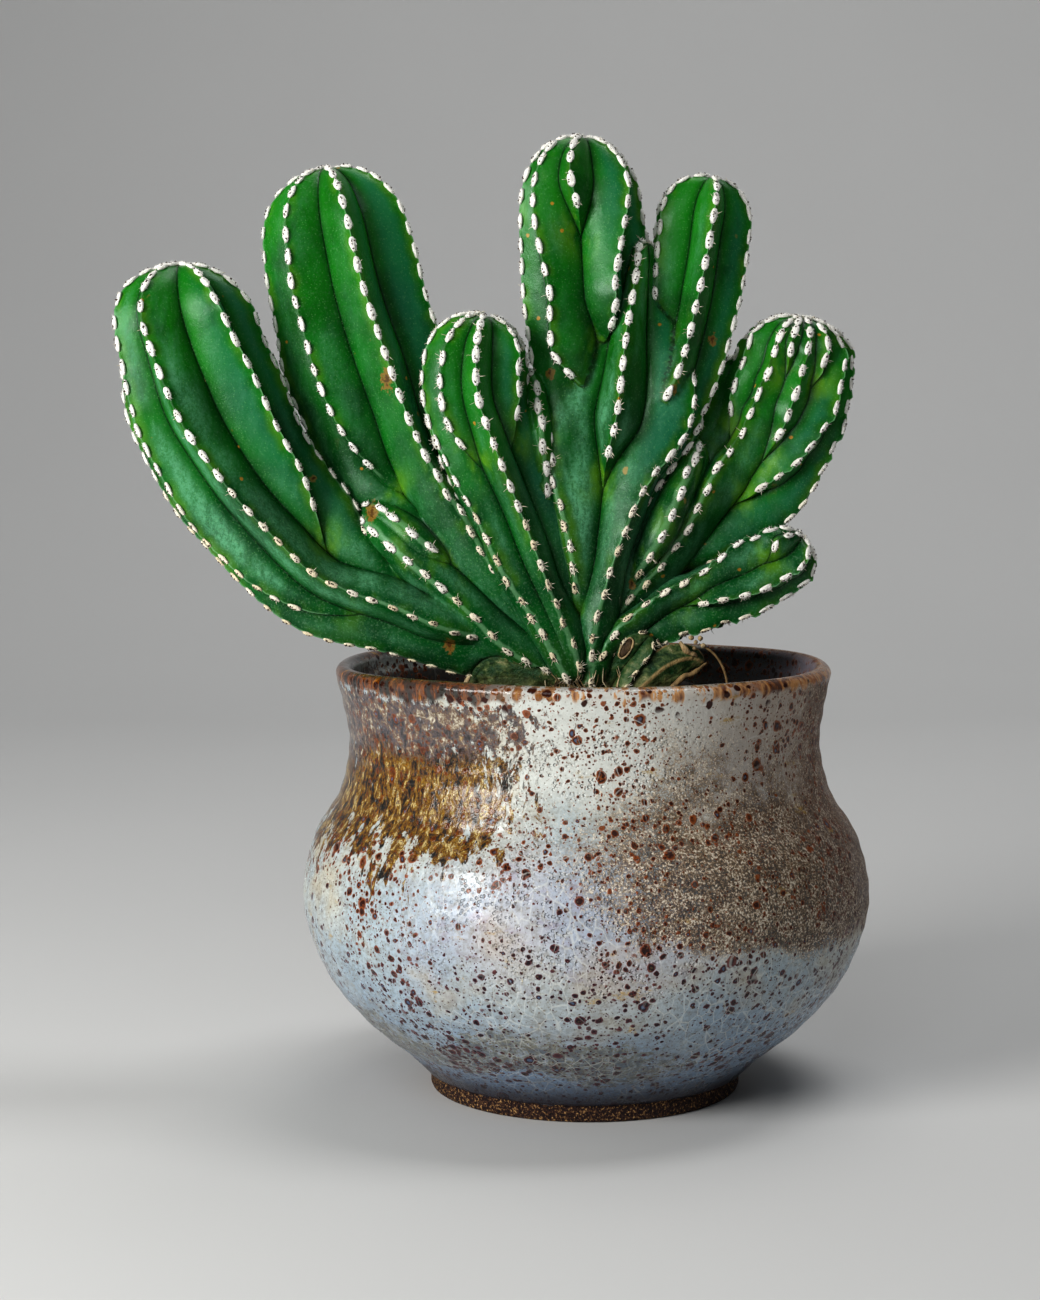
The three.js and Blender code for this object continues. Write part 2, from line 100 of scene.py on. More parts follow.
class Wire:  # one shader value, open to plain arithmetic
    def __init__(self, finish, socket):
        self.finish, self.socket = finish, socket

    def rise(self, low, high, least=0.0, most=1.0):  # soft step up
        inputs = {0: self, 1: low, 2: high, 3: least, 4: most}
        return self.finish.node("MapRange", inputs, interpolation_type="SMOOTHSTEP")

    def fall(self, low, high, most=1.0, least=0.0):  # soft step down
        return self.rise(low, high, most, least)

    def ramp(self, *stops):  # colours in turn: each stop has its place, red, green and blue
        made = self.finish.node("ValToRGB", {0: self})
        elements = made.socket.node.color_ramp.elements
        places = [(place, tone(*colour)) for place, *colour in stops]
        elements[0].position, elements[0].color = places[0]
        elements[1].position, elements[1].color = places[-1]
        for place, colour in places[1:-1]:
            elements.new(place).color = colour
        return made


# signs between wires: | takes the larger, & the smaller
for sign, operation in (("add", "ADD"), ("sub", "SUBTRACT"), ("mul", "MULTIPLY"), ("truediv", "DIVIDE"),
                        ("or", "MAXIMUM"), ("and", "MINIMUM")):
    setattr(Wire, "__" + sign + "__",
            lambda self, other, operation=operation: self.finish.math(operation, self, other))


class Finish:
    def __init__(self, name):
        self.material = bpy.data.materials.new(name)
        self.material.use_nodes = True
        self.tree = self.material.node_tree
        self.place = self.node("TexCoord", {}, "Object")
        self.colour = None

    def node(self, kind, inputs, output=0, **settings):  # a new node, fed, and one of its outputs
        made = self.tree.nodes.new("ShaderNode" + kind)
        for name, value in settings.items():
            setattr(made, name, value)
        for key, value in inputs.items():
            self.feed(made.inputs[key], value)
        return Wire(self, made.outputs[output])

    def feed(self, socket, value):  # a wire, a plain value, or a screen colour as a tuple of three
        if isinstance(value, Wire):
            self.tree.links.new(value.socket, socket)
        elif isinstance(value, tuple) and len(value) == 3:
            socket.default_value = tone(*value)
        else:
            socket.default_value = value

    def math(self, operation, a, b=0.0):
        return self.node("Math", {0: a, 1: b}, operation=operation)

    def mix(self, share, a, b):
        return self.node("Mix", {0: share, 6: a, 7: b}, 2, data_type="RGBA")

    def coat(self, share, colour):  # lays a colour over those before it
        self.colour = self.mix(share, self.colour, colour)

    def split(self, value, kind="XYZ"):
        first = self.node("Separate" + kind, {0: value})
        return [Wire(self, output) for output in first.socket.node.outputs]

    def drawn(self, z, shift=0.0, place=None):  # object coordinates, drawn out upright where z is under 1
        inputs = dict(Vector=place or self.place, Location=[shift] * 3, Scale=[1, 1, z])
        return self.node("Mapping", inputs)

    def shaken(self, scale, by, shift=0.0):  # object coordinates, pushed about by noise
        wander = self.node("TexNoise", dict(Vector=self.place, Scale=scale), "Color")
        inputs = {0: wander, 1: [by] * 3, 2: self.drawn(1, shift)}
        return self.node("VectorMath", inputs, operation="MULTIPLY_ADD")

    def noise(self, scale, detail=3.0, rough=0.5, place=None, distort=0.0):
        inputs = dict(Vector=place or self.place, Scale=scale, Detail=detail, Roughness=rough,
                      Distortion=distort)
        return self.node("TexNoise", inputs, "Fac")

    def cells(self, scale, place=None, feature="F1"):  # distance, and a random colour for each cell
        inputs = dict(Vector=place or self.place, Scale=scale)
        distance = self.node("TexVoronoi", inputs, "Distance", feature=feature)
        return distance, Wire(self, distance.socket.node.outputs[1])

    def trait(self, name):  # a value stored on the mesh
        return self.node("Attribute", {}, "Fac", attribute_name=name)

    def bump(self, height, strength, distance):
        return self.node("Bump", dict(Height=height, Strength=strength, Distance=distance))

    def done(self, **values):
        for name, value in dict(Base_Color=self.colour, **values).items():
            self.feed(self.tree.nodes["Principled BSDF"].inputs[name.replace("_", " ")], value)
        return self.material


def readRows(items, name):  # rows of three numbers from a mesh
    values = np.zeros(len(items) * 3)
    items.foreach_get(name, values)
    return values.reshape(-1, 3)


def dressMesh(mesh, material, smooth=True, traits=None):
    for trait, values in (traits or {}).items():
        mesh.attributes.new(trait, "FLOAT", "POINT").data.foreach_set("value", values.astype(np.float32))
    mesh.polygons.foreach_set("use_smooth", [smooth] * len(mesh.polygons))
    mesh.materials.append(material)
    piece = bpy.data.objects.new(mesh.name, mesh)
    bpy.context.scene.collection.objects.link(piece)
    return piece


def addPiece(name, points, faces, material, smooth=True, traits=None):
    mesh = bpy.data.meshes.new(name)
    mesh.from_pydata(points.tolist(), [], faces if isinstance(faces, list) else faces.tolist())
    mesh.update()
    return dressMesh(mesh, material, smooth, traits)


def mount(piece, slot=None, *nodes):
    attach(piece, "root")
    if nodes:
        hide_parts(*nodes)


class Pieces:  # many small bodies gathered into one mesh, with one value for each
    def __init__(self):
        self.points, self.faces, self.values, self.count = [], [], [], 0

    def add(self, points, faces, value=0.0):
        self.points.append(points)
        self.faces.append(np.asarray(faces) + self.count)
        self.values.append(np.full(len(points), float(value)))
        self.count += len(points)

    def piece(self, name, material, smooth=True, slot=None):
        made = addPiece(name, np.vstack(self.points) * mm, np.vstack(self.faces), material, smooth,
                        dict(shade=np.concatenate(self.values)))
        mount(made, slot)
        print(name + ":", len(self.points), "parts")


def roundStone(subdivisions):
    stone = bmesh.new()
    bmesh.ops.create_icosphere(stone, subdivisions=subdivisions, radius=1)
    points = np.array([v.co[:] for v in stone.verts])
    faces = np.array([[v.index for v in face.verts] for face in stone.faces])
    stone.free()
    return points, faces


def turned(draw):  # a random turn of space
    q, _ = np.linalg.qr(draw.normal(size=(3, 3)))
    return q if np.linalg.det(q) > 0 else -q


def curveThrough(points, perSpan):  # the same curve through its points as the solids use
    p = np.array(points, float)
    p = np.vstack([2 * p[0] - p[1], p, 2 * p[-1] - p[-2]])
    rows = []
    for i in range(len(p) - 3):
        a, b, c, d = p[i:i + 4]
        for t in np.arange(perSpan) / perSpan:
            rows.append(0.5 * (2 * b + (c - a) * t + (2 * a - 5 * b + 4 * c - d) * t * t
                               + (3 * b - a - 3 * c + d) * t ** 3))
    return np.array(rows + [p[-2]])


def revolve(x, y, z, foot, top):  # points and faces of a body turned about the upright axis
    rows, count = x.shape
    i, j = np.meshgrid(np.arange(rows - 1), np.arange(count), indexing="ij")
    nextJ = (j + 1) % count
    quads = np.stack([i * count + j, i * count + nextJ, (i + 1) * count + nextJ, (i + 1) * count + j], -1)
    low, high, last = rows * count, rows * count + 1, (rows - 1) * count
    fans = [(low, (k + 1) % count, k) for k in range(count)]
    fans += [(high, last + k, last + (k + 1) % count) for k in range(count)]
    points = np.vstack([np.stack([x, y, z], -1).reshape(-1, 3), [(0, 0, foot), (0, 0, top)]])
    return points * mm, quads.reshape(-1, 4).tolist() + fans


def wobble(points, size, seed):  # soft uneven waves, about -1 to 1, over points in millimetres
    draw = np.random.default_rng(seed)
    total = np.zeros(len(points))
    for _ in range(6):
        way = draw.normal(size=3)
        way *= draw.uniform(0.6, 1.6) / size / np.linalg.norm(way)
        total += np.sin(points @ way * math.tau + draw.uniform(0, math.tau))
    return total / 3


# pot

potShape = dict(
    footRadius=41.5, footHeight=4.5, wall=4.8, floor=8, rimRadius=66, rimHeight=114,
    outer=[(42.3, 4.5), (48.8, 11), (60, 20.5), (70, 33.5), (75.5, 51), (72.6, 67.5), (65.6, 79.5),
           (62.7, 92.5), (64, 103), (65.8, 111)],
    inner=[(61.2, 110.5), (59.1, 103), (57.9, 92.5), (61.2, 78.5), (70.7, 51), (63.7, 34), (55, 19),
           (42, 11.5), (30, 8)],
    segments=300, ringPitch=5.5, ringDepth=0.1, ringFade=10, glazeLip=0.35, outOfRound=0.55, rimFrom=60,
    rimLean=(-0.9, 0.15), rimWaves=((0.25, 3, 1), (0.15, 5, 0)),  # depth, count and shift of each
)


def potProfile(c):
    rimTurns = np.linspace(0, math.pi, 16)
    half = c["wall"] / 2
    rim = [(c["rimRadius"] - half - 0.1 + half * math.cos(a), c["rimHeight"] - half + half * math.sin(a))
           for a in rimTurns]
    foot = [(0, 0), (20, 0), (c["footRadius"] - 1, 0), (c["footRadius"] - 0.3, 0.3), (c["footRadius"], 1)]
    foot += [(c["footRadius"], h) for h in np.linspace(1.6, c["footHeight"], 8)]
    lip = [(c["footRadius"] + c["glazeLip"], c["footHeight"] + 0.15)]
    outer = [tuple(row) for row in curveThrough(c["outer"], 12)]
    inner = [tuple(row) for row in curveThrough(c["inner"], 8)[1:]]
    return np.array(foot + lip + outer[1:-1] + rim + inner + [(0, c["floor"])])


def buildPot(c):
    profile = potProfile(c)
    turns = np.arange(c["segments"]) / c["segments"] * math.tau
    radius = profile[1:-1, 0][:, None] * np.ones(c["segments"])
    height = profile[1:-1, 1][:, None] * np.ones(c["segments"])
    body = np.clip((height - c["footHeight"]) / c["ringFade"], 0, 1)
    radius += body * c["ringDepth"] * np.sin(math.tau * (height / c["ringPitch"] + turns / math.tau))
    radius += body * c["outOfRound"] * 0.5 * np.cos(2 * turns + 0.7 + height / 60)
    rimShare = np.clip((height - c["rimFrom"]) / (c["rimHeight"] - c["rimFrom"]), 0, 1) ** 1.5
    for depth, count, shift in c["rimWaves"]:
        height += rimShare * depth * np.sin(count * turns + shift)
    x = radius * np.cos(turns) + rimShare * c["rimLean"][0]
    y = radius * np.sin(turns) + rimShare * c["rimLean"][1]
    points, faces = revolve(x, y, height, 0, c["floor"])
    mount(addPiece("glazedPot", points, faces, glazeFinish()), "glazed_stoneware", "pot")
    print("pot:", len(faces), "faces")


glaze = dict(  # screen colours, then ramps with place, red, green and blue for each stop
    pale=(188, 194, 190), cool=(164, 180, 188), warm=(190, 182, 160), lilacSheen=(176, 168, 196),
    crackle=(214, 216, 210), freckle=(104, 88, 56), foot=(96, 128, 164), smoke=(100, 88, 84),
    paintedNeckSheen=(210, 212, 206), beige=(158, 128, 108), brown=(98, 58, 36), gold=(168, 134, 54),
    rust=(136, 66, 14), rustCore=(50, 18, 8), maroon=(88, 38, 46), maroonCore=(28, 12, 22),
    metal=(92, 112, 142), inside=(54, 46, 44), insideRight=(104, 100, 110), rimTop=(72, 36, 12),
    footLineAndShade=(26, 18, 28),
    amber=((0.4, 12, 6, 2), (0.45, 52, 28, 2), (0.485, 120, 76, 0), (0.505, 40, 24, 4),
           (0.535, 160, 116, 8), (0.565, 62, 40, 10), (0.6, 214, 190, 122), (0.65, 100, 86, 76)),
    plum=((0.37, 24, 18, 20), (0.44, 60, 50, 54), (0.5, 96, 84, 84), (0.53, 84, 48, 28),
          (0.59, 138, 124, 104), (0.67, 200, 194, 176)),
    ash=((0.42, 26, 15, 6), (0.465, 72, 48, 28), (0.505, 112, 84, 56), (0.545, 156, 134, 106),
         (0.6, 222, 212, 194)),
    clay=((0.36, 12, 6, 8), (0.48, 40, 22, 20), (0.57, 84, 52, 34), (0.66, 210, 168, 108)),
    rimLeft=((0.38, 12, 4, 0), (0.45, 54, 20, 0), (0.51, 124, 64, 0), (0.56, 38, 15, 0),
             (0.64, 142, 82, 0), (0.72, 188, 142, 58)),
    olive=((0.36, 34, 24, 16), (0.46, 74, 62, 26), (0.53, 118, 106, 52), (0.62, 150, 158, 166)),
    rimRight=((0.36, 76, 36, 14), (0.46, 158, 94, 38), (0.55, 196, 144, 88), (0.66, 98, 50, 22)),
    # spacing, half width and shift of each kind of spot, and the half widths from which looks change
    spots=((7.0, 1.7, 0.0), (3.7, 1.12, 0.37), (2.3, 0.72, 0.63), (1.5, 0.4, 0.81), (1.05, 0.26, 0.17)),
    glintFrom=1, raisedFrom=0.6, firmFrom=0.5,
)


def glazeFinish():
    f = Finish("speckledGlaze")
    x, y, z = f.split(f.place)
    radius = f.math("SQRT", x * x + y * y)

    def facing(degrees, half, soft):  # 1 on the side turned this way: 0 is the viewer's, 90 the right
        turn = math.radians(degrees)
        aim = (x * math.sin(turn) - y * math.cos(turn)) / radius
        return aim.rise(math.cos(math.radians(half + soft)), math.cos(math.radians(max(half - soft, 0))))

    def above(low, high, drifting=0):  # soft step up between two heights, which may drift, in millimetres
        return (z + drift * (drifting * mm) if drifting else z).rise(low * mm, high * mm)

    def below(low, high, drifting=0):  # soft step down
        return (z + drift * (drifting * mm) if drifting else z).fall(low * mm, high * mm)

    def ragged(zone, grain, spread, edge=0.07):  # a soft zone broken up by its own grain
        return (zone + (grain - 0.5) * spread).rise(0.5 - edge, 0.5 + edge)

    drift = f.noise(34, 3, 0.55) - 0.5
    streaks = f.noise(430, 4, 0.72, f.drawn(0.34), 0.5)
    otherStreaks = f.noise(480, 4, 0.74, f.drawn(0.5, 0.5), 0.4)
    mottle = f.noise(480, 5, 0.75, f.drawn(0.8, 0.35), 0.3)
    grain = f.noise(1650, 2, 0.75)
    dribble = f.noise(240, 2, 0.5, f.drawn(0.1))

    # body: pale, with cooler and warmer clouds, a lilac patch in front that is partly painted sheen, and
    # bluer and greyer towards the foot, partly painted shade
    f.colour = f.mix(f.noise(26, 2).rise(0.4, 0.62), glaze["pale"], glaze["cool"])
    f.coat(f.noise(45, 3, 0.6, f.drawn(1, 0.7)).rise(0.48, 0.68) * 0.8, glaze["warm"])
    smoky = f.noise(150, 4, 0.7, f.drawn(1.6, 0.42)).rise(0.5, 0.72)
    # lilac on the front of the belly: partly the glaze's own lilac tint, partly a painted sheen of the
    # front light
    lilacSheen = facing(-6, 24, 18) * above(36, 52, 40) * below(58, 80, 40)
    f.coat(lilacSheen * (smoky * 0.4 + 0.3), glaze["lilacSheen"])
    # bluer and greyer towards the foot: thinner glaze, and also painted shade with a painted blue
    # reflection low down
    f.coat(below(4, 56, 30) * 0.85, glaze["foot"])
    f.coat(f.noise(700, 3, 0.7).rise(0.4, 0.7, 0, 0.4), glaze["freckle"])
    # painted highlight: the front of the neck paler where the front light would reflect
    paintedNeckSheen = facing(12, 26, 20) * above(80, 92, 30)
    f.coat(smoky * 0.3, glaze["smoke"])
    f.coat(paintedNeckSheen * 0.75, glaze["paintedNeckSheen"])

    # satin ash: grainy grey-brown across the right of the belly and neck
    beige = facing(78, 44, 30) * above(66, 84, 50)
    f.coat(beige * 0.6, glaze["beige"])
    lean = z + x * 0.17 + drift * 0.03
    ash = facing(50, 40, 34) * lean.rise(0.05, 0.064) * below(70, 112, 60)
    side = facing(100, 36, 26) * above(34, 60, 40)
    ashShare = ragged((ash * 0.95) | side, grain * 0.7 + f.noise(500, 3, 0.7) * 0.3, 1.9, 0.22)
    ashGrain = grain * 0.7 + f.noise(170, 4, 0.75, f.drawn(1.4, 0.66)) * 0.3
    f.coat(ashShare * 0.88, ashGrain.ramp(*glaze["ash"]))
    f.coat(side * ashShare * 0.36, glaze["brown"])

    # amber: treacle, gold and cream runs on the left of the neck, with dribbles below
    runDown = z + (dribble - 0.5) * 0.045 + drift * 0.02
    amber = facing(-72, 52, 20) * runDown.rise(0.065, 0.08) * below(90, 104, 30)
    amber = amber | (facing(168, 30, 16) * runDown.rise(0.066, 0.08) * below(88, 102))
    amberShare = ragged(amber, streaks, 2.4, 0.1)
    f.coat(amberShare * 0.96, otherStreaks.ramp(*glaze["amber"]))

    # plum: purple-grey mottle above it, up to the rim
    plum = facing(-68, 46, 26) * above(88, 100, 30) * below(107, 113, 10)
    plumShare = ragged(plum, otherStreaks, 3.0, 0.12)
    f.coat(plumShare * 0.92, mottle.ramp(*glaze["plum"]))
    low = facing(-28, 44, 26) * above(10, 17, 20) * below(20, 34, 30)
    flat = f.noise(300, 4, 0.7, f.drawn(2.2, 0.22))
    f.coat(ragged(low, flat, 2.6, 0.12) * 0.55, otherStreaks.ramp(*glaze["olive"]))

    # gold stains in short wisps
    wisps = f.noise(60, 4, 0.7, f.drawn(2.6, 0.15)).rise(0.62, 0.7) * above(10, 30)
    f.coat(wisps * mottle.rise(0.4, 0.6) * 0.8, glaze["gold"])

    # inside wall: painted shade, lighter on the right as painted light where the light falls in
    inner = radius.fall(0.0608, 0.0615) * above(90, 92)
    insideTone = f.mix(x.rise(0.025, 0.055), glaze["inside"], glaze["insideRight"])
    f.coat(inner * 0.94, insideTone)

    # iron spots: rusty above, maroon below, the larger ones with a dark core and some with a metal glint
    rusty = above(42, 68, 60)
    ring = f.mix(rusty, glaze["maroon"], glaze["rust"])
    core = f.mix(rusty, glaze["maroonCore"], glaze["rustCore"])
    cluster = f.noise(52, 2, 0.5, f.drawn(1, 0.6)).rise(0.36, 0.62, 0.66, 1.12)
    cluster = cluster * z.fall(0.014, 0.03, 1.25, 1)
    runs = (amberShare | plumShare).fall(0, 1, 1, 0.5)
    spotShare = None
    for spacing, half, shift in glaze["spots"]:
        distance, random = f.cells(1000 / spacing, f.shaken(420, 0.0014, shift))
        pick = f.split(random, "Color")
        # from the middle of the spot, in millimetres, larger for smaller spots
        reach = distance * spacing / (cluster * pick[0].rise(0, 1, 0.55, 1))
        here = reach.fall(half * 0.86, half * 1.04)
        f.coat(here * runs * (0.95 if half > glaze["firmFrom"] else 0.85), ring)
        f.coat(reach.fall(half * 0.56, half * 0.84) * runs, core)
        if half > glaze["glintFrom"]:
            glint = reach.fall(half * 0.25, half * 0.55) * pick[1].rise(0.6, 0.65)
            f.coat(glint * 0.7, glaze["metal"])
        if half > glaze["raisedFrom"]:
            spotShare = here if spotShare is None else spotShare | here
    freckles, _ = f.cells(900, f.shaken(420, 0.001))
    f.coat(freckles.fall(0.14, 0.28) * 0.5, glaze["freckle"])

    # crackle: fine pale lines, upright round the neck
    net, _ = f.cells(300, f.drawn(0.5, place=f.shaken(120, 0.0016)), "DISTANCE_TO_EDGE")
    upright, _ = f.cells(200, f.drawn(0.2, place=f.shaken(60, 0.004)), "DISTANCE_TO_EDGE")
    lines = (net.fall(0.008, 0.05) * below(85, 100)) | (upright.fall(0.004, 0.02) * above(82, 95))
    lines = lines * f.noise(46, 2, 0.5, f.drawn(1, 0.33)).rise(0.32, 0.54)
    lines = lines * (amberShare | plumShare | ashShare).fall(0, 1, 1, 0.2)
    lines = lines * facing(50, 70, 40).rise(0, 1, 0.35, 1)
    f.coat(lines * 0.42, glaze["crackle"])

    # rim: the glaze thins and breaks to amber on the left and tan on the right
    outside = radius.rise(0.0615, 0.0625)
    edgeZ = z + (dribble - 0.5) * 0.006
    left = facing(-75, 62, 14)
    rimBand = (edgeZ + left * 0.001).rise(0.1098, 0.1114) * outside
    front = facing(8, 24, 14)
    drips = f.noise(300, 3, 0.6, f.drawn(0.2, 0.9))
    rimColour = f.mix(left, drips.ramp(*glaze["rimRight"]), drips.ramp(*glaze["rimLeft"]))
    f.coat(rimBand * (front * drips.fall(0.5, 0.56)).fall(0, 1, 0.92, 0.1), rimColour)
    blobs, _ = f.cells(230, f.shaken(420, 0.002, 0.5))
    f.coat(blobs.fall(0.19, 0.27) * edgeZ.rise(0.1065, 0.1085), glaze["rustCore"])
    f.coat((z + (grain - 0.5) * 0.002).rise(0.1128, 0.1137) * 0.4, glaze["rimTop"])

    # the dark glaze line above the foot, drawn out into painted shade near the floor, and the foot's bare
    # clay
    footZ = z + (f.noise(260, 3) - 0.5) * 0.0014
    f.coat(footZ.fall(0.0056, 0.015) * 0.92, glaze["footLineAndShade"])
    clay = footZ.fall(0.0044, 0.0047)
    clayGrain = f.noise(1500, 3, 0.8)
    f.coat(clay, clayGrain.ramp(*glaze["clay"]))

    # sparkling pits in the middle of the front
    sparkle = facing(-8, 26, 14) * ((above(84, 90) * below(100, 106)) | lilacSheen)
    pits, _ = f.cells(900, f.drawn(1, 0.2))
    pitted = pits.fall(0.2, 0.45) * f.noise(150, 3).rise(0.42, 0.56) * sparkle

    roughness = ashShare * 0.2 + f.noise(160, 2).rise(0.3, 0.7, 0.22, 0.38)
    roughness = roughness * (amberShare | (plumShare * 0.7) | rimBand).fall(0, 1, 1, 0.36) | (clay * 0.9)
    relief = spotShare * 0.45 + f.noise(380, 3, 0.6) * 0.5 + f.noise(1000, 2, 0.6) * 0.3 - pitted * 1.6
    relief = relief + clay * clayGrain * 4.0 + (amber | plum) * streaks * 1.2 + (ash | side) * grain * 0.5
    return f.done(Roughness=roughness, Specular_IOR_Level=0.3, Normal=f.bump(relief, 0.8, 0.00034))


# soil

soilShape = dict(
    height=102, floor=8.4, gap=0.55, hole=8.65, holeDepth=12.45, rings=110, segments=240,
    wave=0.7, ripples=((0.5, 5, 3), (0.35, 2.2, 4), (0.18, 1.1, 5)),  # depth, size and seed of each
    crumbs=1500, crumbSize=(0.35, 2.3), crumbsFrom=3, crumbsTo=50,  # from the hole and from the middle
    underPlant=(38, 24), lowUnder=1.6,  # crumbs stay low under the plant
    dark=(22, 16, 12), light=(60, 46, 34), grit=(104, 84, 62), darkBark=(36, 26, 20), bark=(70, 50, 36),
    stone=(160, 148, 130), shadow=(18, 13, 10),
)


def soilTop(x, y):
    wave = np.sin(x / 7.3 + 1.1) * np.cos(y / 8.9) + 0.5 * np.sin((x + y) / 4.7)
    return soilShape["height"] + soilShape["wave"] * wave


def buildSoil(c):
    side = curveThrough(potShape["inner"], 8)
    side = side[(side[:, 1] < c["height"] - 1) & (side[:, 1] > c["floor"] + 0.5)][::-1]
    count = c["segments"]
    turns = np.arange(count) / count * math.tau
    under = [(20, c["floor"])] + [(r - c["gap"], h) for r, h in side]
    brim = np.interp(c["height"], side[:, 1], side[:, 0]) - c["gap"]
    top = [(r, c["height"]) for r in np.linspace(brim, c["hole"], c["rings"])]
    well = [(c["hole"], c["height"] - 6), (c["hole"], c["height"] - c["holeDepth"])]
    profile = np.array(under + top + well)
    x = profile[:, 0][:, None] * np.cos(turns)
    y = profile[:, 0][:, None] * np.sin(turns)
    z = profile[:, 1][:, None] * np.ones(count)
    first = len(under)
    onTop = slice(first, first + len(top))
    flat = np.stack([x[onTop].ravel(), y[onTop].ravel(), np.zeros(x[onTop].size)], -1)
    rough = sum(depth * wobble(flat, size, seed) for depth, size, seed in c["ripples"])
    z[onTop] = soilTop(x[onTop], y[onTop]) + rough.reshape(z[onTop].shape)
    points, faces = revolve(x, y, z, c["floor"], c["height"] - c["holeDepth"])
    mount(addPiece("pottingSoil", points, faces, soilFinish()), "gritty_soil", "soil")
    buildCrumbs(c)
    print("soil:", len(faces), "faces")


def buildCrumbs(c):
    draw = np.random.default_rng(12)
    unit, faces = roundStone(2)
    crumbs = Pieces()
    least, most = c["crumbSize"]
    near = c["hole"] + c["crumbsFrom"]
    for _ in range(c["crumbs"]):
        angle = draw.uniform(0, math.tau)
        reach = near + (c["crumbsTo"] - near) * math.sqrt(draw.uniform(0.0, 1))
        size = least + (most - least) * draw.uniform() ** 3.5
        x, y = reach * math.cos(angle), reach * math.sin(angle)
        lumps = 1 + 0.16 * wobble(unit * 10 + 100 * draw.uniform(size=3), 12, int(draw.integers(1e6)))
        squash = np.array([1, draw.uniform(0.6, 0.95), draw.uniform(0.45, 0.85)])
        stone = (unit * lumps[:, None] * squash) @ turned(draw).T * size
        stone += (x, y, float(soilTop(x, y)) + size * draw.uniform(0.05, 0.45))
        under = (x / c["underPlant"][0]) ** 2 + (y / c["underPlant"][1]) ** 2 < 1
        if under and stone[:, 2].max() > c["height"] + c["lowUnder"]:
            continue
        crumbs.add(stone, faces, draw.uniform())
    crumbs.piece("soilCrumbs", crumbFinish(), True, "gritty_soil")


def soilFinish():
    f = Finish("darkSoil")
    f.colour = f.mix(f.noise(500, 4, 0.7).rise(0.35, 0.65), soilShape["dark"], soilShape["light"])
    crumbs, _ = f.cells(700)
    f.coat(crumbs.fall(0.12, 0.3) * 0.7, soilShape["grit"])
    return f.done(Roughness=0.95, Normal=f.bump(f.noise(700, 4, 0.75), 0.9, 0.0012))


def crumbFinish():
    f = Finish("gritAndBark")
    shade = f.trait("shade")
    f.colour = f.mix(shade.rise(0.5, 0.6), soilShape["darkBark"], soilShape["bark"])
    f.coat(shade.rise(0.86, 0.88), soilShape["grit"])
    f.coat(shade.rise(0.97, 0.98), soilShape["stone"])
    f.coat(f.noise(900, 3, 0.7).fall(0.35, 0.7) * 0.55, soilShape["shadow"])
    return f.done(Roughness=0.9, Normal=f.bump(f.noise(1400, 3, 0.7), 0.6, 0.0004))


# cactus: each lobe is a ribbed column swept along its spine

def rib(*angles, start=-1.0, ramp=0.16):  # crest angles from base to tip, and where the rib starts
    return dict(angles=angles, start=start, ramp=ramp)
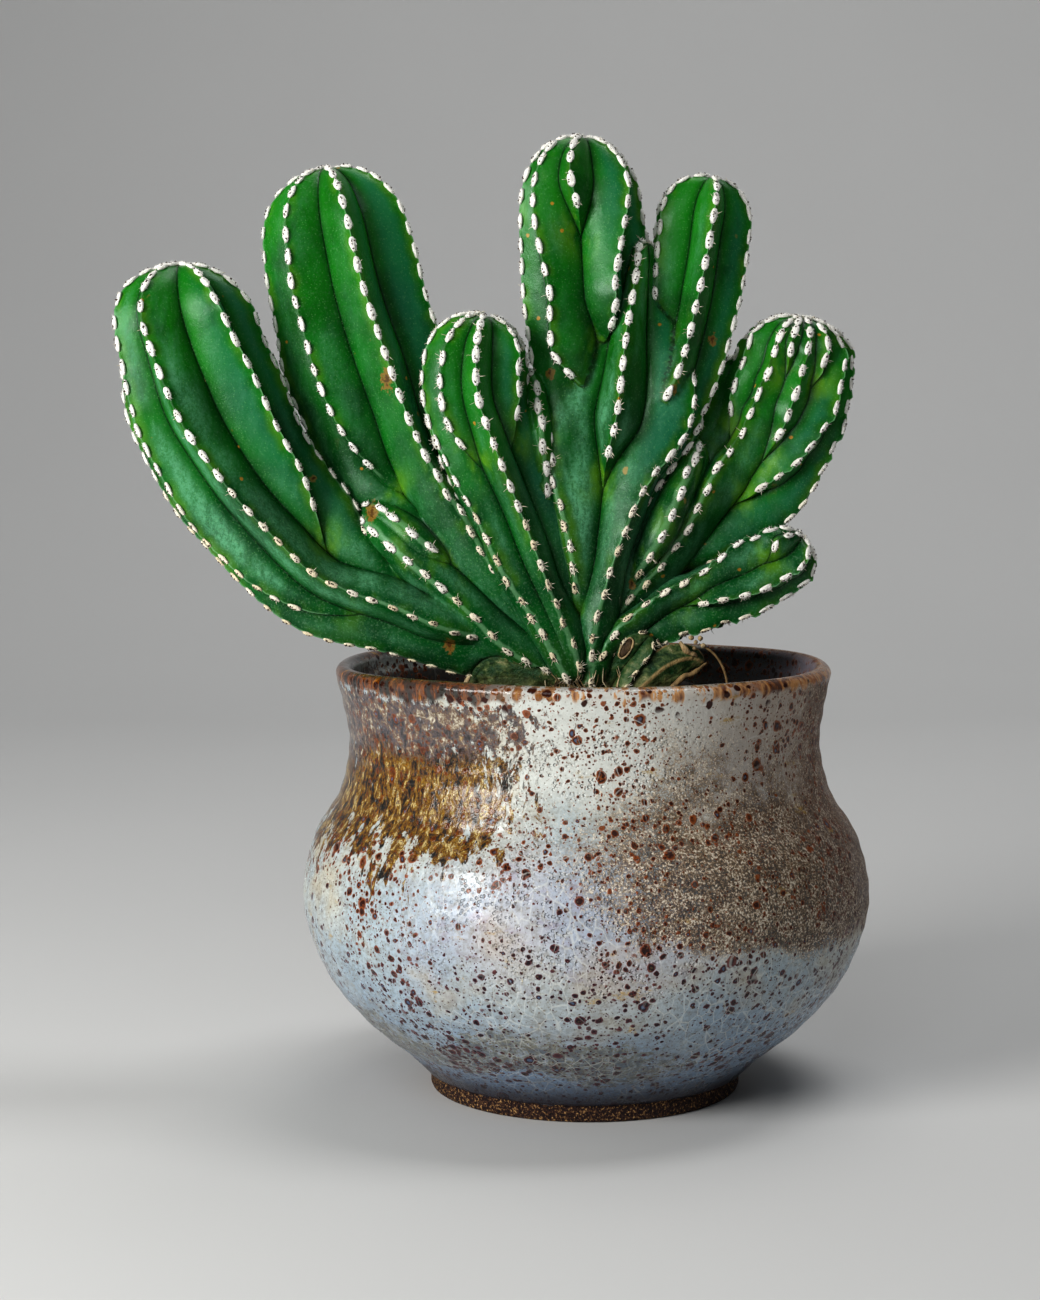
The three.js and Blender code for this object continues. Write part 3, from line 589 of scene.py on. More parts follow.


# each lobe's bloom amount is partly its waxy bloom, partly painted light that makes the whole lobe lighter
# or darker
lobes = dict(
    farLeft=dict(
        spine=[(-2, 0, 111.5, 8, 9), (-25, -1, 122, 11, 11), (-47.5, -1, 130, 14.5, 13),
               (-67, 0, 135.5, 16.5, 15.5), (-80, 0, 149, 18.5, 17.5), (-92.5, 0, 166.5, 20, 18.5),
               (-101, 0, 183.5, 21, 19), (-106, 0, 203, 19.5, 18.5), (-107, 0, 218.5, 18, 17.5)],
        dome=17, bloom=0.95,
        ribs=[rib(-85, -80, -62, -80, -102, -118), rib(-45, -45, -45, -67, -54, -66, start=0.36),
              rib(-14, -14, 2, -8, -17, -32, start=0.1), rib(49, 49, 49, 49, 49, 32, start=0.46),
              rib(72, 76, 80, 86, 88, 82, start=0.26), rib(125, 130, 138, 140), rib(185, 192, 195)]),
    left=dict(
        spine=[(-4, 2, 110, 8, 9), (-28, 4, 135, 13, 13), (-38.5, 5, 150, 16, 14.5),
               (-50, 6, 169.5, 19.5, 17), (-57, 6, 189, 21.2, 18), (-62.5, 6, 209, 21, 18),
               (-66, 6, 227, 19.5, 17.5), (-69, 6, 244, 18, 16)],
        dome=17, bloom=0.3,
        ribs=[rib(-80, -85, -90), rib(-25, -25, -26, -35, -40, -38, start=0.42),
              rib(30, 28, 22, 18, 14, 12), rib(75), rib(124), rib(176), rib(225)]),
    leftWeb=dict(
        spine=[(-8, 0, 112, 8, 8), (-19, 0, 120, 11, 9.5), (-31, 0, 130, 12, 9.4),
               (-42, 0, 139.5, 11, 9), (-51, 2, 147.5, 8.5, 7.6), (-57.5, 6, 152, 5.5, 5)],
        dome=5, groove=0.5, melt=1.9, bloom=0.8,
        ribs=[rib(-12, -10, -10, -14), rib(18, 18, 22, start=0.6), rib(85), rib(150), rib(215), rib(270)]),
    middle=dict(
        spine=[(-3, -3, 112, 8, 8), (-14, -6, 140, 10.5, 10), (-20.5, -8, 158, 12, 11.5),
               (-25.5, -9, 172, 13, 13), (-29, -9, 184, 13.6, 13.5), (-28.5, -9, 195, 13, 13),
               (-26.5, -9, 205, 12, 12)],
        dome=11, bloom=0.7,
        ribs=[rib(-15, -28, -48, -65, -82, -88), rib(-40, start=0.6), rib(8, 10, 10, 6, 3, -5),
              rib(60, 60, 58, start=0.62), rib(100), rib(150), rib(210), rib(265)]),
    middleWeb=dict(
        spine=[(-10, -1, 148, 4, 5), (-12, -2, 160, 7, 7), (-13, -2, 175, 8, 7.5), (-14.5, -1, 190, 6, 6)],
        dome=6, melt=1.4, bloom=1.0,
        ribs=[rib(5), rib(95), rib(180), rib(270)]),
    trunk=dict(
        spine=[(1, 0, 104, 7, 9), (2, 0, 119, 9, 11), (3.5, -1, 135, 11.5, 12), (5, -1, 151, 15, 14),
               (6.5, -1, 166, 18, 15), (10, -1, 182, 20.5, 14), (12, -1, 199, 14, 13),
               (13.5, 1, 213, 7.5, 11.5), (14.5, 3, 224, 5.5, 8.5)],
        dome=8, bloom=1.3,
        ribs=[rib(-25, -28, -42, -75, -90, -95, start=0.16), rib(-5, -5, -5, -5, -9, -10, start=0.46),
              rib(-10, 0, 20, 52, 80, 85), rib(95, 95, 100, 120), rib(165), rib(225), rib(268, 262)]),
    tall=dict(
        spine=[(4, 3, 154, 8, 9), (3, 2, 170, 12, 12), (1.5, 0, 183, 14.5, 14.5), (1, 0, 203, 17, 16),
               (-1, 0, 222, 17, 16), (-2, 0, 238, 16, 15), (-1, 0, 251.5, 14, 13.5)],
        dome=16, bloom=0.28,
        ribs=[rib(-82, -82, -78, -76, -72, -68), rib(-46, -46, -42, -36, -48, -54, start=0.28),
              rib(-2, -2, -2, -2, -4, -18, start=0.73), rib(20, 20, 20, 24, 46, 62, start=0.42),
              rib(95), rib(150), rib(210)]),
    right=dict(
        spine=[(9, 1, 156, 7, 8), (15, 2, 172, 11, 11.5), (20, 3, 182, 12, 12.5), (26, 3, 198, 12, 12.5),
               (29, 3, 214, 12, 12.5), (31, 3, 230, 12.5, 12.5), (33, 3, 241.5, 11.5, 11.5)],
        dome=12,
        ribs=[rib(-60, -60, -60, -56, -70, -78, start=0.46), rib(0, 0, 0, 0, 6, 8, start=0.2),
              rib(40, 50, 66, 70, 78, 80), rib(140), rib(200), rib(260)]),
    fan=dict(
        spine=[(3, 4, 110, 7, 8), (9, 4, 123, 9, 9), (21.5, 5, 140, 11, 10), (34, 5, 153, 13.5, 10.5),
               (46.5, 6, 166, 16, 10.5), (53.5, 6, 184, 17, 10), (56, 6, 196, 15.5, 10),
               (57.5, 6, 205, 14, 9)],
        dome=10, ragged=2.0,
        ribs=[rib(-60, -62, -64, start=0.66), rib(-20, -18, -17, -38, -28, -24),
              rib(-10, start=0.85, ramp=0.1), rib(2, 2, 2, 2, 3, 10, start=0.64),
              rib(29, start=0.84, ramp=0.1), rib(10, 10, 10, 18, 48, 60, start=0.52),
              rib(60, 65, 85, start=0.3), rib(110), rib(150), rib(185), rib(220), rib(262)]),
    lowRight=dict(
        spine=[(2, -3, 110, 7, 7), (18, -5, 126, 8, 8), (31, -6, 132, 9.5, 8.5), (43, -6, 137, 10.5, 8.5),
               (51, -6, 141.5, 9.5, 8), (56.5, -6, 147.5, 8, 7)],
        dome=8, ragged=2.4, bloom=0.8,
        ribs=[rib(-30, -32, -34, -50, -64, -72), rib(-30, start=0.82, ramp=0.12),
              rib(10, 10, 12, 14, 24, 40, start=0.46), rib(60, 60, 65, 75), rib(110), rib(160), rib(215)]),
    rightWeb=dict(
        spine=[(11, 3, 134, 4, 4), (15.5, -1, 142, 5, 5), (19.5, -3.6, 150, 6, 5.2),
               (23, -3.6, 158, 5.6, 4.8), (26, -1, 165, 4.6, 4), (28, 3, 171, 3.5, 3)],
        dome=4, melt=1.5,
        ribs=[rib(5), rib(110), rib(230)]),
    fanWeb=dict(
        spine=[(22, 7, 146, 5, 5), (31, 8, 162, 6.5, 5), (37, 9, 178, 6.5, 5), (41, 9, 194, 5, 4)],
        dome=6,
        ribs=[rib(-60), rib(60), rib(180)]),
    offset=dict(
        spine=[(6, -6, 105, 4, 5), (10, -8, 112, 5.6, 5.6), (14, -9, 117.5, 5.6, 5.2),
               (16.5, -9, 121, 4.6, 4.6)],
        dome=5, dry=0.4, ragged=1.6, pads=True, melt=0.45,
        ribs=[rib(-70), rib(18, 24, 30), rib(75), rib(180), rib(240)]),
    corkRight=dict(
        spine=[(9, -8, 102.5, 2.5, 4), (15.5, -10.5, 108.5, 4.6, 3.4), (21.5, -11, 113.5, 5.6, 2.8),
               (27, -10.5, 115.6, 3.6, 2), (30.8, -10, 114.6, 1.2, 1)],
        dome=1.2, groove=0.3, dry=0.6, melt=0.2,
        ribs=[rib(-86), rib(-15, -10, -4), rib(84), rib(180)]),
    corkLeft=dict(
        spine=[(-2, -3, 105, 4, 6), (-12, -5, 108.5, 5, 6.2), (-20, -5.5, 110, 5.2, 5),
               (-26, -4.5, 109.5, 4.6, 3.6), (-31, -4, 108, 2.6, 2)],
        dome=2.5, groove=0.5, dry=0.8, ragged=3.2, melt=0.4,
        ribs=[rib(-72, -80, -66), rib(-30, -12, -24), rib(24, 40, 30), rib(75), rib(130), rib(200)]),
)

growth = dict(
    groove=0.72, baseGroove=0.6, baseReach=0.35, deepest=0.75, flank=0.85, dome=2.2, emerge=1.7,
    perSpan=60, stride=1.2, ringStep=1.25, domeRings=20, domeTurn=86, flankSteps=8,
    scallop=0.34, crestWidth=1.3, uneven=0.35, unevenSize=26, ruffle=0.5, ruffleSize=10, startReach=5.5,
    webLow=10, webHigh=4, webFrom=146, webTo=200, webMost=0.38, spread=16, spreadShares=(0.45, 0.55),
    offSeam=0.02, easedPush=0.5, easedSeam=1.5, closeSeam=2.2, easing=0.5, sharp=60,
)

wool = dict(
    spacing=5.8, tipSpacing=4.5, tipReach=18, firstGap=(0.5, 3), lastGap=0.4, gapShare=(0.9, 1.1),
    leastOut=0.6, covered=0.25, crowded=4.5,  # the last is a distance squared
    length=4.6, width=2.0, height=1.0, raised=0.2, rings=7, sides=10, fray=0.06, lopsided=0.3,
    sizes=(0.88, 1.1), lengths=(0.88, 1.08), oldSmaller=0.34,
    oldHeights=(190, 128), oldFromTip=(10, 50), offsetAge=1.2,
    hairs=24, hairLength=(0.25, 0.75), hairWidth=0.06,
    dots=4, dotLength=(0.42, 0.66), dotSize=(0.25, 0.23, 0.09),
    spines=11, spineLength=(0.7, 1.9), spineSize=(0.11, 0.08, 0.02),
    spiny=dict(farLeft=0.1, left=0.08, tall=0.25, right=0.35, fan=0.4, lowRight=0.5),
)


def share(low, high, value):
    t = np.clip((value - low) / (high - low), 0, 1)
    return t * t * (3 - 2 * t)


class Lobe:
    def __init__(self, shape):
        self.shape = shape
        self.groove = shape.get("groove", growth["groove"])
        self.curve = curveThrough(shape["spine"], growth["perSpan"])
        steps = np.linalg.norm(np.diff(self.curve[:, :3], axis=0), axis=1)
        self.along = np.concatenate([[0], np.cumsum(steps)])
        self.length = self.along[-1]
        self.ribs = shape["ribs"]

    def at(self, s):
        return np.array([np.interp(s * self.length, self.along, column) for column in self.curve.T])

    def fullness(self, s):
        left = self.length * (1 - s)
        if left >= self.shape["dome"]:
            return 1.0
        over = 1 - left / self.shape["dome"]
        return max(0.0, 1 - over ** growth["dome"]) ** (1 / growth["dome"])

    def station(self, s):
        step = growth["stride"] / self.length
        along = self.at(min(1, s + step))[:3] - self.at(max(0, s - step))[:3]
        along /= np.linalg.norm(along)
        front = np.array([0, -1.0, 0]) - along * -along[1]
        front /= np.linalg.norm(front)
        x, y, z, width, depth = self.at(s)
        full = self.fullness(s)
        return np.array([x, y, z]), front, np.cross(along, front), width * full, depth * full

    def crestAngle(self, index, s):
        angles = self.ribs[index]["angles"]
        return float(np.interp(s * (len(angles) - 1), range(len(angles)), angles))

    def out(self, index, s):  # how far a rib has come out of its groove
        r = self.ribs[index]
        if r["start"] < 0:
            return 1.0
        return 1 - (1 - min(max((s - r["start"]) / r["ramp"], 0), 1)) ** growth["emerge"]

    def plainSection(self, s, active):
        rows = np.zeros((len(self.ribs), 4))
        for order, index in enumerate(active):
            nextRib = active[(order + 1) % len(active)]
            here = self.crestAngle(index, s)
            there = self.crestAngle(nextRib, s) + (360 if nextRib <= index else 0)
            middle, drop = (here + there) / 2, (there - here) / 2
            rows[index] = (here, 0, middle, drop)
            hidden = (index + 1) % len(self.ribs)
            while hidden != nextRib:
                around = 360 if hidden <= index else 0
                rows[hidden] = (middle - around, drop, middle - around, drop)
                hidden = (hidden + 1) % len(self.ribs)
        return rows

    def section(self, s):
        outs = [self.out(i, s) for i in range(len(self.ribs))]

        def blend(active, unsettled):
            if not unsettled:
                return self.plainSection(s, active)
            index, rest = unsettled[0], unsettled[1:]
            without = blend([i for i in active if i != index], rest)
            return without + (blend(active, rest) - without) * outs[index]

        active = [i for i, value in enumerate(outs) if value > 0]
        return blend(active, [i for i in active if outs[i] < 1]), outs

    def ring(self, s, steps):
        centre, front, side, width, depth = self.station(s)
        rows, outs = self.section(s)
        crest, crestDrop, groove, grooveDrop = rows.T
        nextCrest, nextDrop = np.roll(crest, -1), np.roll(crestDrop, -1)
        nextCrest[-1] += 360
        up = 0.5 - 0.5 * np.cos(np.pi * np.arange(steps) / steps)
        down = 0.5 + 0.5 * np.cos(np.pi * np.arange(steps) / steps)

        def flanks(fromCrest, toGroove, fromNext, power):  # down one flank of each rib and up the next
            return np.concatenate([fromCrest[:, None] + (toGroove - fromCrest)[:, None] * up ** power,
                                   fromNext[:, None] + (toGroove - fromNext)[:, None] * down ** power],
                                  1).ravel()

        angle = flanks(crest, groove, nextCrest, 1)
        drop = flanks(crestDrop, grooveDrop, nextDrop, growth["flank"])
        turn = np.radians(angle)
        across, ahead = width * np.sin(turn), depth * np.cos(turn)
        radius = np.hypot(across, ahead) + 1e-9
        ease = growth["baseGroove"] + (1 - growth["baseGroove"]) * share(0, growth["baseReach"], s)
        fall = self.groove * ease * np.radians(drop) * (width + depth) / 2
        fall = np.minimum(fall, growth["deepest"] * radius)
        keep = 1 - fall / radius
        return centre + np.outer(across * keep, side) + np.outer(ahead * keep, front), outs

    def stations(self):
        domeStart = 1 - self.shape["dome"] / self.length
        count = max(4, round(self.length * domeStart / growth["ringStep"]))
        body = domeStart * np.arange(count) / count
        turn = np.radians(growth["domeTurn"]) * np.arange(growth["domeRings"] + 1) / growth["domeRings"]
        return np.concatenate([body, domeStart + (1 - domeStart) * np.sin(turn)])


def areolePlaces(lobe, rings, outs, draw, steps):  # ring positions of the pads on each crest
    places = []
    for index in range(len(lobe.ribs)):
        line = rings[:, index * 2 * steps]
        hops = np.linalg.norm(np.diff(line, axis=0), axis=1)
        walked = np.concatenate([[0], np.cumsum(hops)])
        shown = outs[:, index] > wool["leastOut"]
        if not shown.any():
            continue
        at = walked[np.argmax(shown)] + draw.uniform(*wool["firstGap"])
        while at < walked[-1] - wool["lastGap"]:
            toTip = walked[-1] - at
            ringAt = float(np.interp(at, walked, range(len(walked))))
            places.append((index, ringAt, toTip))
            gap = wool["tipSpacing"] if toTip < wool["tipReach"] else wool["spacing"]
            at += gap * draw.uniform(*wool["gapShare"])
    return places


def buildLobe(name, draw):
    lobe = Lobe(lobes[name])
    steps = growth["flankSteps"]
    stations = lobe.stations()
    made = [lobe.ring(s, steps) for s in stations]
    rings = np.array([ring for ring, _ in made])
    outs = np.array([o for _, o in made])
    bare = lobe.shape.get("dry") and not lobe.shape.get("pads")
    places = [] if bare else areolePlaces(lobe, rings, outs, draw, steps)

    # crests rise a little between the pads and dip under them
    ragged = lobe.shape.get("ragged", 1.0)
    count = rings.shape[1]
    centres = np.array([lobe.at(s)[:3] for s in stations])
    lift = np.zeros(rings.shape[:2])
    for index in range(len(lobe.ribs)):
        spots = np.array([ringAt for i, ringAt, _ in places if i == index])
        if len(spots) < 2:
            continue
        step = np.median(np.diff(spots))
        nearest = np.abs(np.arange(len(stations))[:, None] - spots).min(1) / step
        wave = -np.cos(np.clip(nearest, 0, 0.5) * math.tau) * growth["scallop"] * ragged * outs[:, index]
        column = index * 2 * steps
        for offset in range(-3, 4):
            lift[:, (column + offset) % count] += wave * math.exp(-(offset / growth["crestWidth"]) ** 2)
    outward = rings - centres[:, None]
    outward /= np.linalg.norm(outward, axis=2, keepdims=True) + 1e-9
    flat = rings.reshape(-1, 3)
    lift += growth["uneven"] * wobble(flat, growth["unevenSize"], 8).reshape(lift.shape)
    ruffles = wobble(flat, growth["ruffleSize"], 17).reshape(lift.shape)
    lift += growth["ruffle"] * (ragged - 1) * ruffles
    full = np.array([lobe.fullness(s) for s in stations])
    rings = rings + outward * (lift * full[:, None])[..., None]

    # what the finish reads: distances to crest, groove and tip, and closeness to a rib's start
    crestGap = np.full(rings.shape[:2], 99.0)
    grooveGap = np.full(rings.shape[:2], 99.0)
    for r in range(len(stations)):
        for index in range(len(lobe.ribs)):
            column = index * 2 * steps
            if outs[r, index] > 0.3:
                crestGap[r] = np.minimum(crestGap[r], np.linalg.norm(rings[r] - rings[r, column], axis=1))
            grooveAt = rings[r, column + steps]
            grooveGap[r] = np.minimum(grooveGap[r], np.linalg.norm(rings[r] - grooveAt, axis=1))
    start = np.zeros(rings.shape[:2])
    for index, r in enumerate(lobe.ribs):
        if r["start"] >= 0 and r["start"] < 0.95:
            where = int(np.argmin(np.abs(stations - r["start"] - 0.02)))
            origin = rings[where, index * 2 * steps]
            away = np.linalg.norm(rings - origin, axis=2) / growth["startReach"]
            start = np.maximum(start, np.exp(-away ** 2))
    tip = np.repeat((lobe.length * (1 - stations))[:, None], count, 1)
    # waxy bloom, raised on flanks facing left as painted light from that side
    bloom = lobe.shape.get("bloom", 0.5) * (0.5 + 0.7 * share(-0.35, 0.4, -outward[..., 0]))
    traits = dict(crestGap=crestGap, grooveGap=grooveGap, ribStart=start, tipGap=tip, bloom=bloom,
                  # cool: painted bluish light on flanks facing right
                  cool=share(0.25, 0.75, outward[..., 0]),
                  dry=np.full(rings.shape[:2], float(lobe.shape.get("dry", 0))))
    return lobe, rings, outward, places, traits


def lobeFaces(rings, first, last):  # a closed skin, with points that fall together used once
    rows, count = rings.shape[:2]
    same = np.linalg.norm(rings - np.roll(rings, 1, axis=1), axis=2) < 1e-4
    ids = np.zeros((rows, count), int)
    points, total = [], 0
    for r in range(rows):
        number = np.cumsum(~same[r, 1:])
        ids[r, 1:] = number
        size = number[-1] + 1
        if same[r, 0]:
            ids[r][ids[r] == size - 1] = 0
            size -= 1
        keepAt = np.unique(ids[r], return_index=True)[1]
        points.append(rings[r, keepAt])
        ids[r] += total
        total += size
    a, b = ids[:-1], np.roll(ids[:-1], -1, axis=1)
    d, c = ids[1:], np.roll(ids[1:], -1, axis=1)
    quads = np.stack([a, b, c, d], -1).reshape(-1, 4)
    low, high = quads[:, 0] == quads[:, 1], quads[:, 2] == quads[:, 3]
    faces = quads[~low & ~high].tolist() + quads[low & ~high][:, [0, 2, 3]].tolist()
    faces += quads[~low & high][:, :3].tolist()
    for k in range(count):
        n = (k + 1) % count
        if ids[0, k] != ids[0, n]:
            faces.append([total, int(ids[0, n]), int(ids[0, k])])
        if ids[-1, k] != ids[-1, n]:
            faces.append([total + 1, int(ids[-1, k]), int(ids[-1, n])])
    return np.vstack(points + [[first], [last]]), faces


def joinLobes(bodies):
    bpy.context.view_layer.update()
    group = bpy.data.collections.new("lobesToJoin")
    for body in bodies[1:]:
        group.objects.link(body)
    union = bodies[0].modifiers.new("union", "BOOLEAN")
    union.operation = "UNION"
    union.operand_type = "COLLECTION"
    union.collection = group
    union.solver = "MANIFOLD"
    graph = bpy.context.evaluated_depsgraph_get()
    mesh = bpy.data.meshes.new_from_object(bodies[0].evaluated_get(graph))
    for body in bodies:
        bpy.data.objects.remove(body)
    bpy.data.collections.remove(group)
    return mesh


def nearestOf(points, asked):  # for each asked point, the nearest of the points, and how far it is
    tree = kdtree.KDTree(len(points))
    for i, point in enumerate(points.tolist()):
        tree.insert(point, i)
    tree.balance()
    found = [tree.find(point)[1:] for point in asked.tolist()]
    return np.array([index for index, _ in found]), np.array([gap for _, gap in found])


def buildCactus():
    draw = np.random.default_rng(5)
    plain = bpy.data.materials.new("plain")
    bodies, shapes, made, source, values = [], [], [], [], {}
    for name in lobes:
        lobe, rings, outward, places, traits = buildLobe(name, draw)
        points, faces = lobeFaces(rings, lobe.at(0)[:3], lobe.at(1)[:3])
        bodies.append(addPiece("body" + name, points * mm, faces, plain))
        shapes.append((points.min(0), points.max(0), BVHTree.FromPolygons(points.tolist(), faces),
                       lobe.shape.get("melt", 1.0)))
        made.append((name, rings, outward, places))
        source.append(rings.reshape(-1, 3))
        for trait, value in traits.items():
            values.setdefault(trait, []).append(value.ravel())
    print("lobes:", sum(len(s) for s in source), "points")
    mesh = joinLobes(bodies + [buildStem(stemShape, plain)])
    owners = np.repeat(np.arange(len(source)), [len(s) for s in source])
    source = np.vstack(source)
    co = readRows(mesh.vertices, "co") / mm
    nearest, offBy = nearestOf(source, co)
    _, seamGap = nearestOf(co[offBy > growth["offSeam"]], co)
    push = spread(mesh, fillWebs(co, readRows(mesh.vertices, "normal"), owners[nearest], shapes))
    mesh.vertices.foreach_set("co", ((co + push) * mm).ravel())
    pushed = np.linalg.norm(push, axis=1)
    softenSeams(mesh, seamGap, pushed)
    moved = readRows(mesh.vertices, "co") / mm - co
    traits = {trait: np.concatenate(value)[nearest] for trait, value in values.items()}
    traits.update(web=pushed, seamGap=seamGap)
    mesh.materials.clear()
    mesh.name = "cactusSkin"
    piece = dressMesh(mesh, skinFinish(), True, traits)
    mesh.set_sharp_from_angle(angle=math.radians(growth["sharp"]))
    mount(piece, "cactus_skin", "cactus")
    print("cactus skin:", len(mesh.vertices), "points,", len(mesh.polygons), "faces")
    polygons = [p.vertices[:] for p in mesh.polygons]
    skinTree = BVHTree.FromPolygons((co + moved).tolist(), polygons)
    plainTree = BVHTree.FromPolygons(co.tolist(), polygons)

    def settle(spot):  # where a spot of a plain lobe lies on the finished skin, None if a lobe covers it
        _, _, face, gap = plainTree.find_nearest(spot.tolist())
        if gap > wool["covered"]:
            return None
        shift = moved[list(polygons[face])].mean(0)
        hit, normal, _, _ = skinTree.find_nearest((spot + shift).tolist())
        return np.array(hit), np.array(normal), np.linalg.norm(shift)

    buildWool(settle, made)
    buildFoot(foot, skinTree)


stemShape = dict(radius=8.2, low=90, high=108, sides=48)


def buildStem(c, material):
    turns = np.arange(c["sides"]) / c["sides"] * math.tau
    ring = np.stack([np.cos(turns), np.sin(turns), 0 * turns], -1)
    rings = np.array([ring * (c["radius"] - 1) + (0, 0, c["low"]),
                      ring * c["radius"] + (0, 0, c["high"])])
    points, faces = lobeFaces(rings, (0, 0, c["low"]), (0, 0, c["high"]))
    return addPiece("bodyStem", points * mm, faces, material)


def fillWebs(co, normals, owner, shapes):  # skin runs over from lobe to lobe, more so low down
    high = share(growth["webFrom"], growth["webTo"], co[:, 2])
    reach = growth["webLow"] + (growth["webHigh"] - growth["webLow"]) * high
    melts = np.array([shape[3] for shape in shapes])
    push = np.zeros_like(co)
    for number, (low, top, tree, melt) in enumerate(shapes):
        margin = growth["webLow"] * melts.max() * melt
        close = np.all((co > low - margin) & (co < top + margin), axis=1)
        wide = reach * melt * melts[owner]
        for i in np.flatnonzero(close & (owner != number)):
            hit, normal, _, gap = tree.find_nearest(co[i].tolist(), float(wide[i]))
            if hit is None:
                continue
            near = 1 - gap / wide[i]
            towards = (co[i] - np.array(hit)) / gap if gap > 0.05 else np.array(normal)
            field = normals[i] * (1 - near / 2) + towards * near / 2
            size = max(np.linalg.norm(field), 0.5)
            push[i] += field / size * near * near * wide[i] / 4 / size
    length = np.linalg.norm(push, axis=1)
    most = growth["webMost"] * reach
    return push * np.where(length > most, most / (length + 1e-9), 1)[:, None]


def spread(mesh, push):  # evens the push out, so that each rib rides on it with its own profile
    ends = np.zeros(len(mesh.edges) * 2, int)
    mesh.edges.foreach_get("vertices", ends)
    a, b = ends.reshape(-1, 2).T
    count = len(push)
    links = np.bincount(a, minlength=count) + np.bincount(b, minlength=count)
    keep, take = growth["spreadShares"]
    for _ in range(growth["spread"]):
        around = [np.bincount(a, push[b, axis], count) + np.bincount(b, push[a, axis], count)
                  for axis in range(3)]
        push = keep * push + take * np.stack(around, -1) / np.maximum(links, 1)[:, None]
    return push


def softenSeams(mesh, seamGap, pushed):  # the webs and joints are eased
    work = bmesh.new()
    work.from_mesh(mesh)
    work.verts.ensure_lookup_table()
    eased = (pushed > growth["easedPush"]) | (seamGap < growth["easedSeam"])
    wide = [work.verts[i] for i in np.flatnonzero(eased)]
    close = [work.verts[i] for i in np.flatnonzero(seamGap < growth["closeSeam"])]
    for verts in (wide, close, wide, close, close, close, wide, close):
        bmesh.ops.smooth_vert(work, verts=verts, factor=growth["easing"],
                              use_axis_x=True, use_axis_y=True, use_axis_z=True)
    work.to_mesh(mesh)
    work.free()


skin = dict(  # screen colours, then ramps with place, red, green and blue for each stop
    deep=(3, 72, 10), fresh=(12, 106, 18), old=(3, 68, 34), young=(30, 128, 18), bloom=(92, 160, 118),
    cool=(34, 116, 88), murk=(4, 50, 18), lime=(96, 150, 26), low=(6, 56, 26),
    # the groove colours are painted shade in the grooves and joints
    crestLine=(126, 180, 130), groove=(6, 56, 18), grooveShadeLine=(5, 26, 8), pores=(120, 186, 110),
    dust=(160, 206, 168), scar=(158, 126, 60), scarMiddle=(84, 48, 20), nick=(186, 128, 40),
    woundEdge=(146, 104, 46), wound=(70, 40, 18), paper=(160, 132, 88),
    scales=((0.38, 18, 30, 12), (0.47, 40, 58, 26), (0.55, 70, 86, 46), (0.64, 112, 114, 74),
            (0.72, 188, 176, 138)),
    bark=((0.36, 40, 34, 20), (0.47, 76, 66, 36), (0.56, 122, 102, 62), (0.66, 170, 146, 102),
          (0.75, 206, 186, 146)),
    # across, high and size of each wound
    wounds=((-52, 188.4, 1.5), (-56.5, 154, 1.5), (-36, 119, 1.2), (-66, 172, 0.8), (22.5, 186, 0.8),
            (33, 199, 0.9), (12, 135, 0.8), (-9.5, 190, 0.9), (50, 160, 0.9)),
)


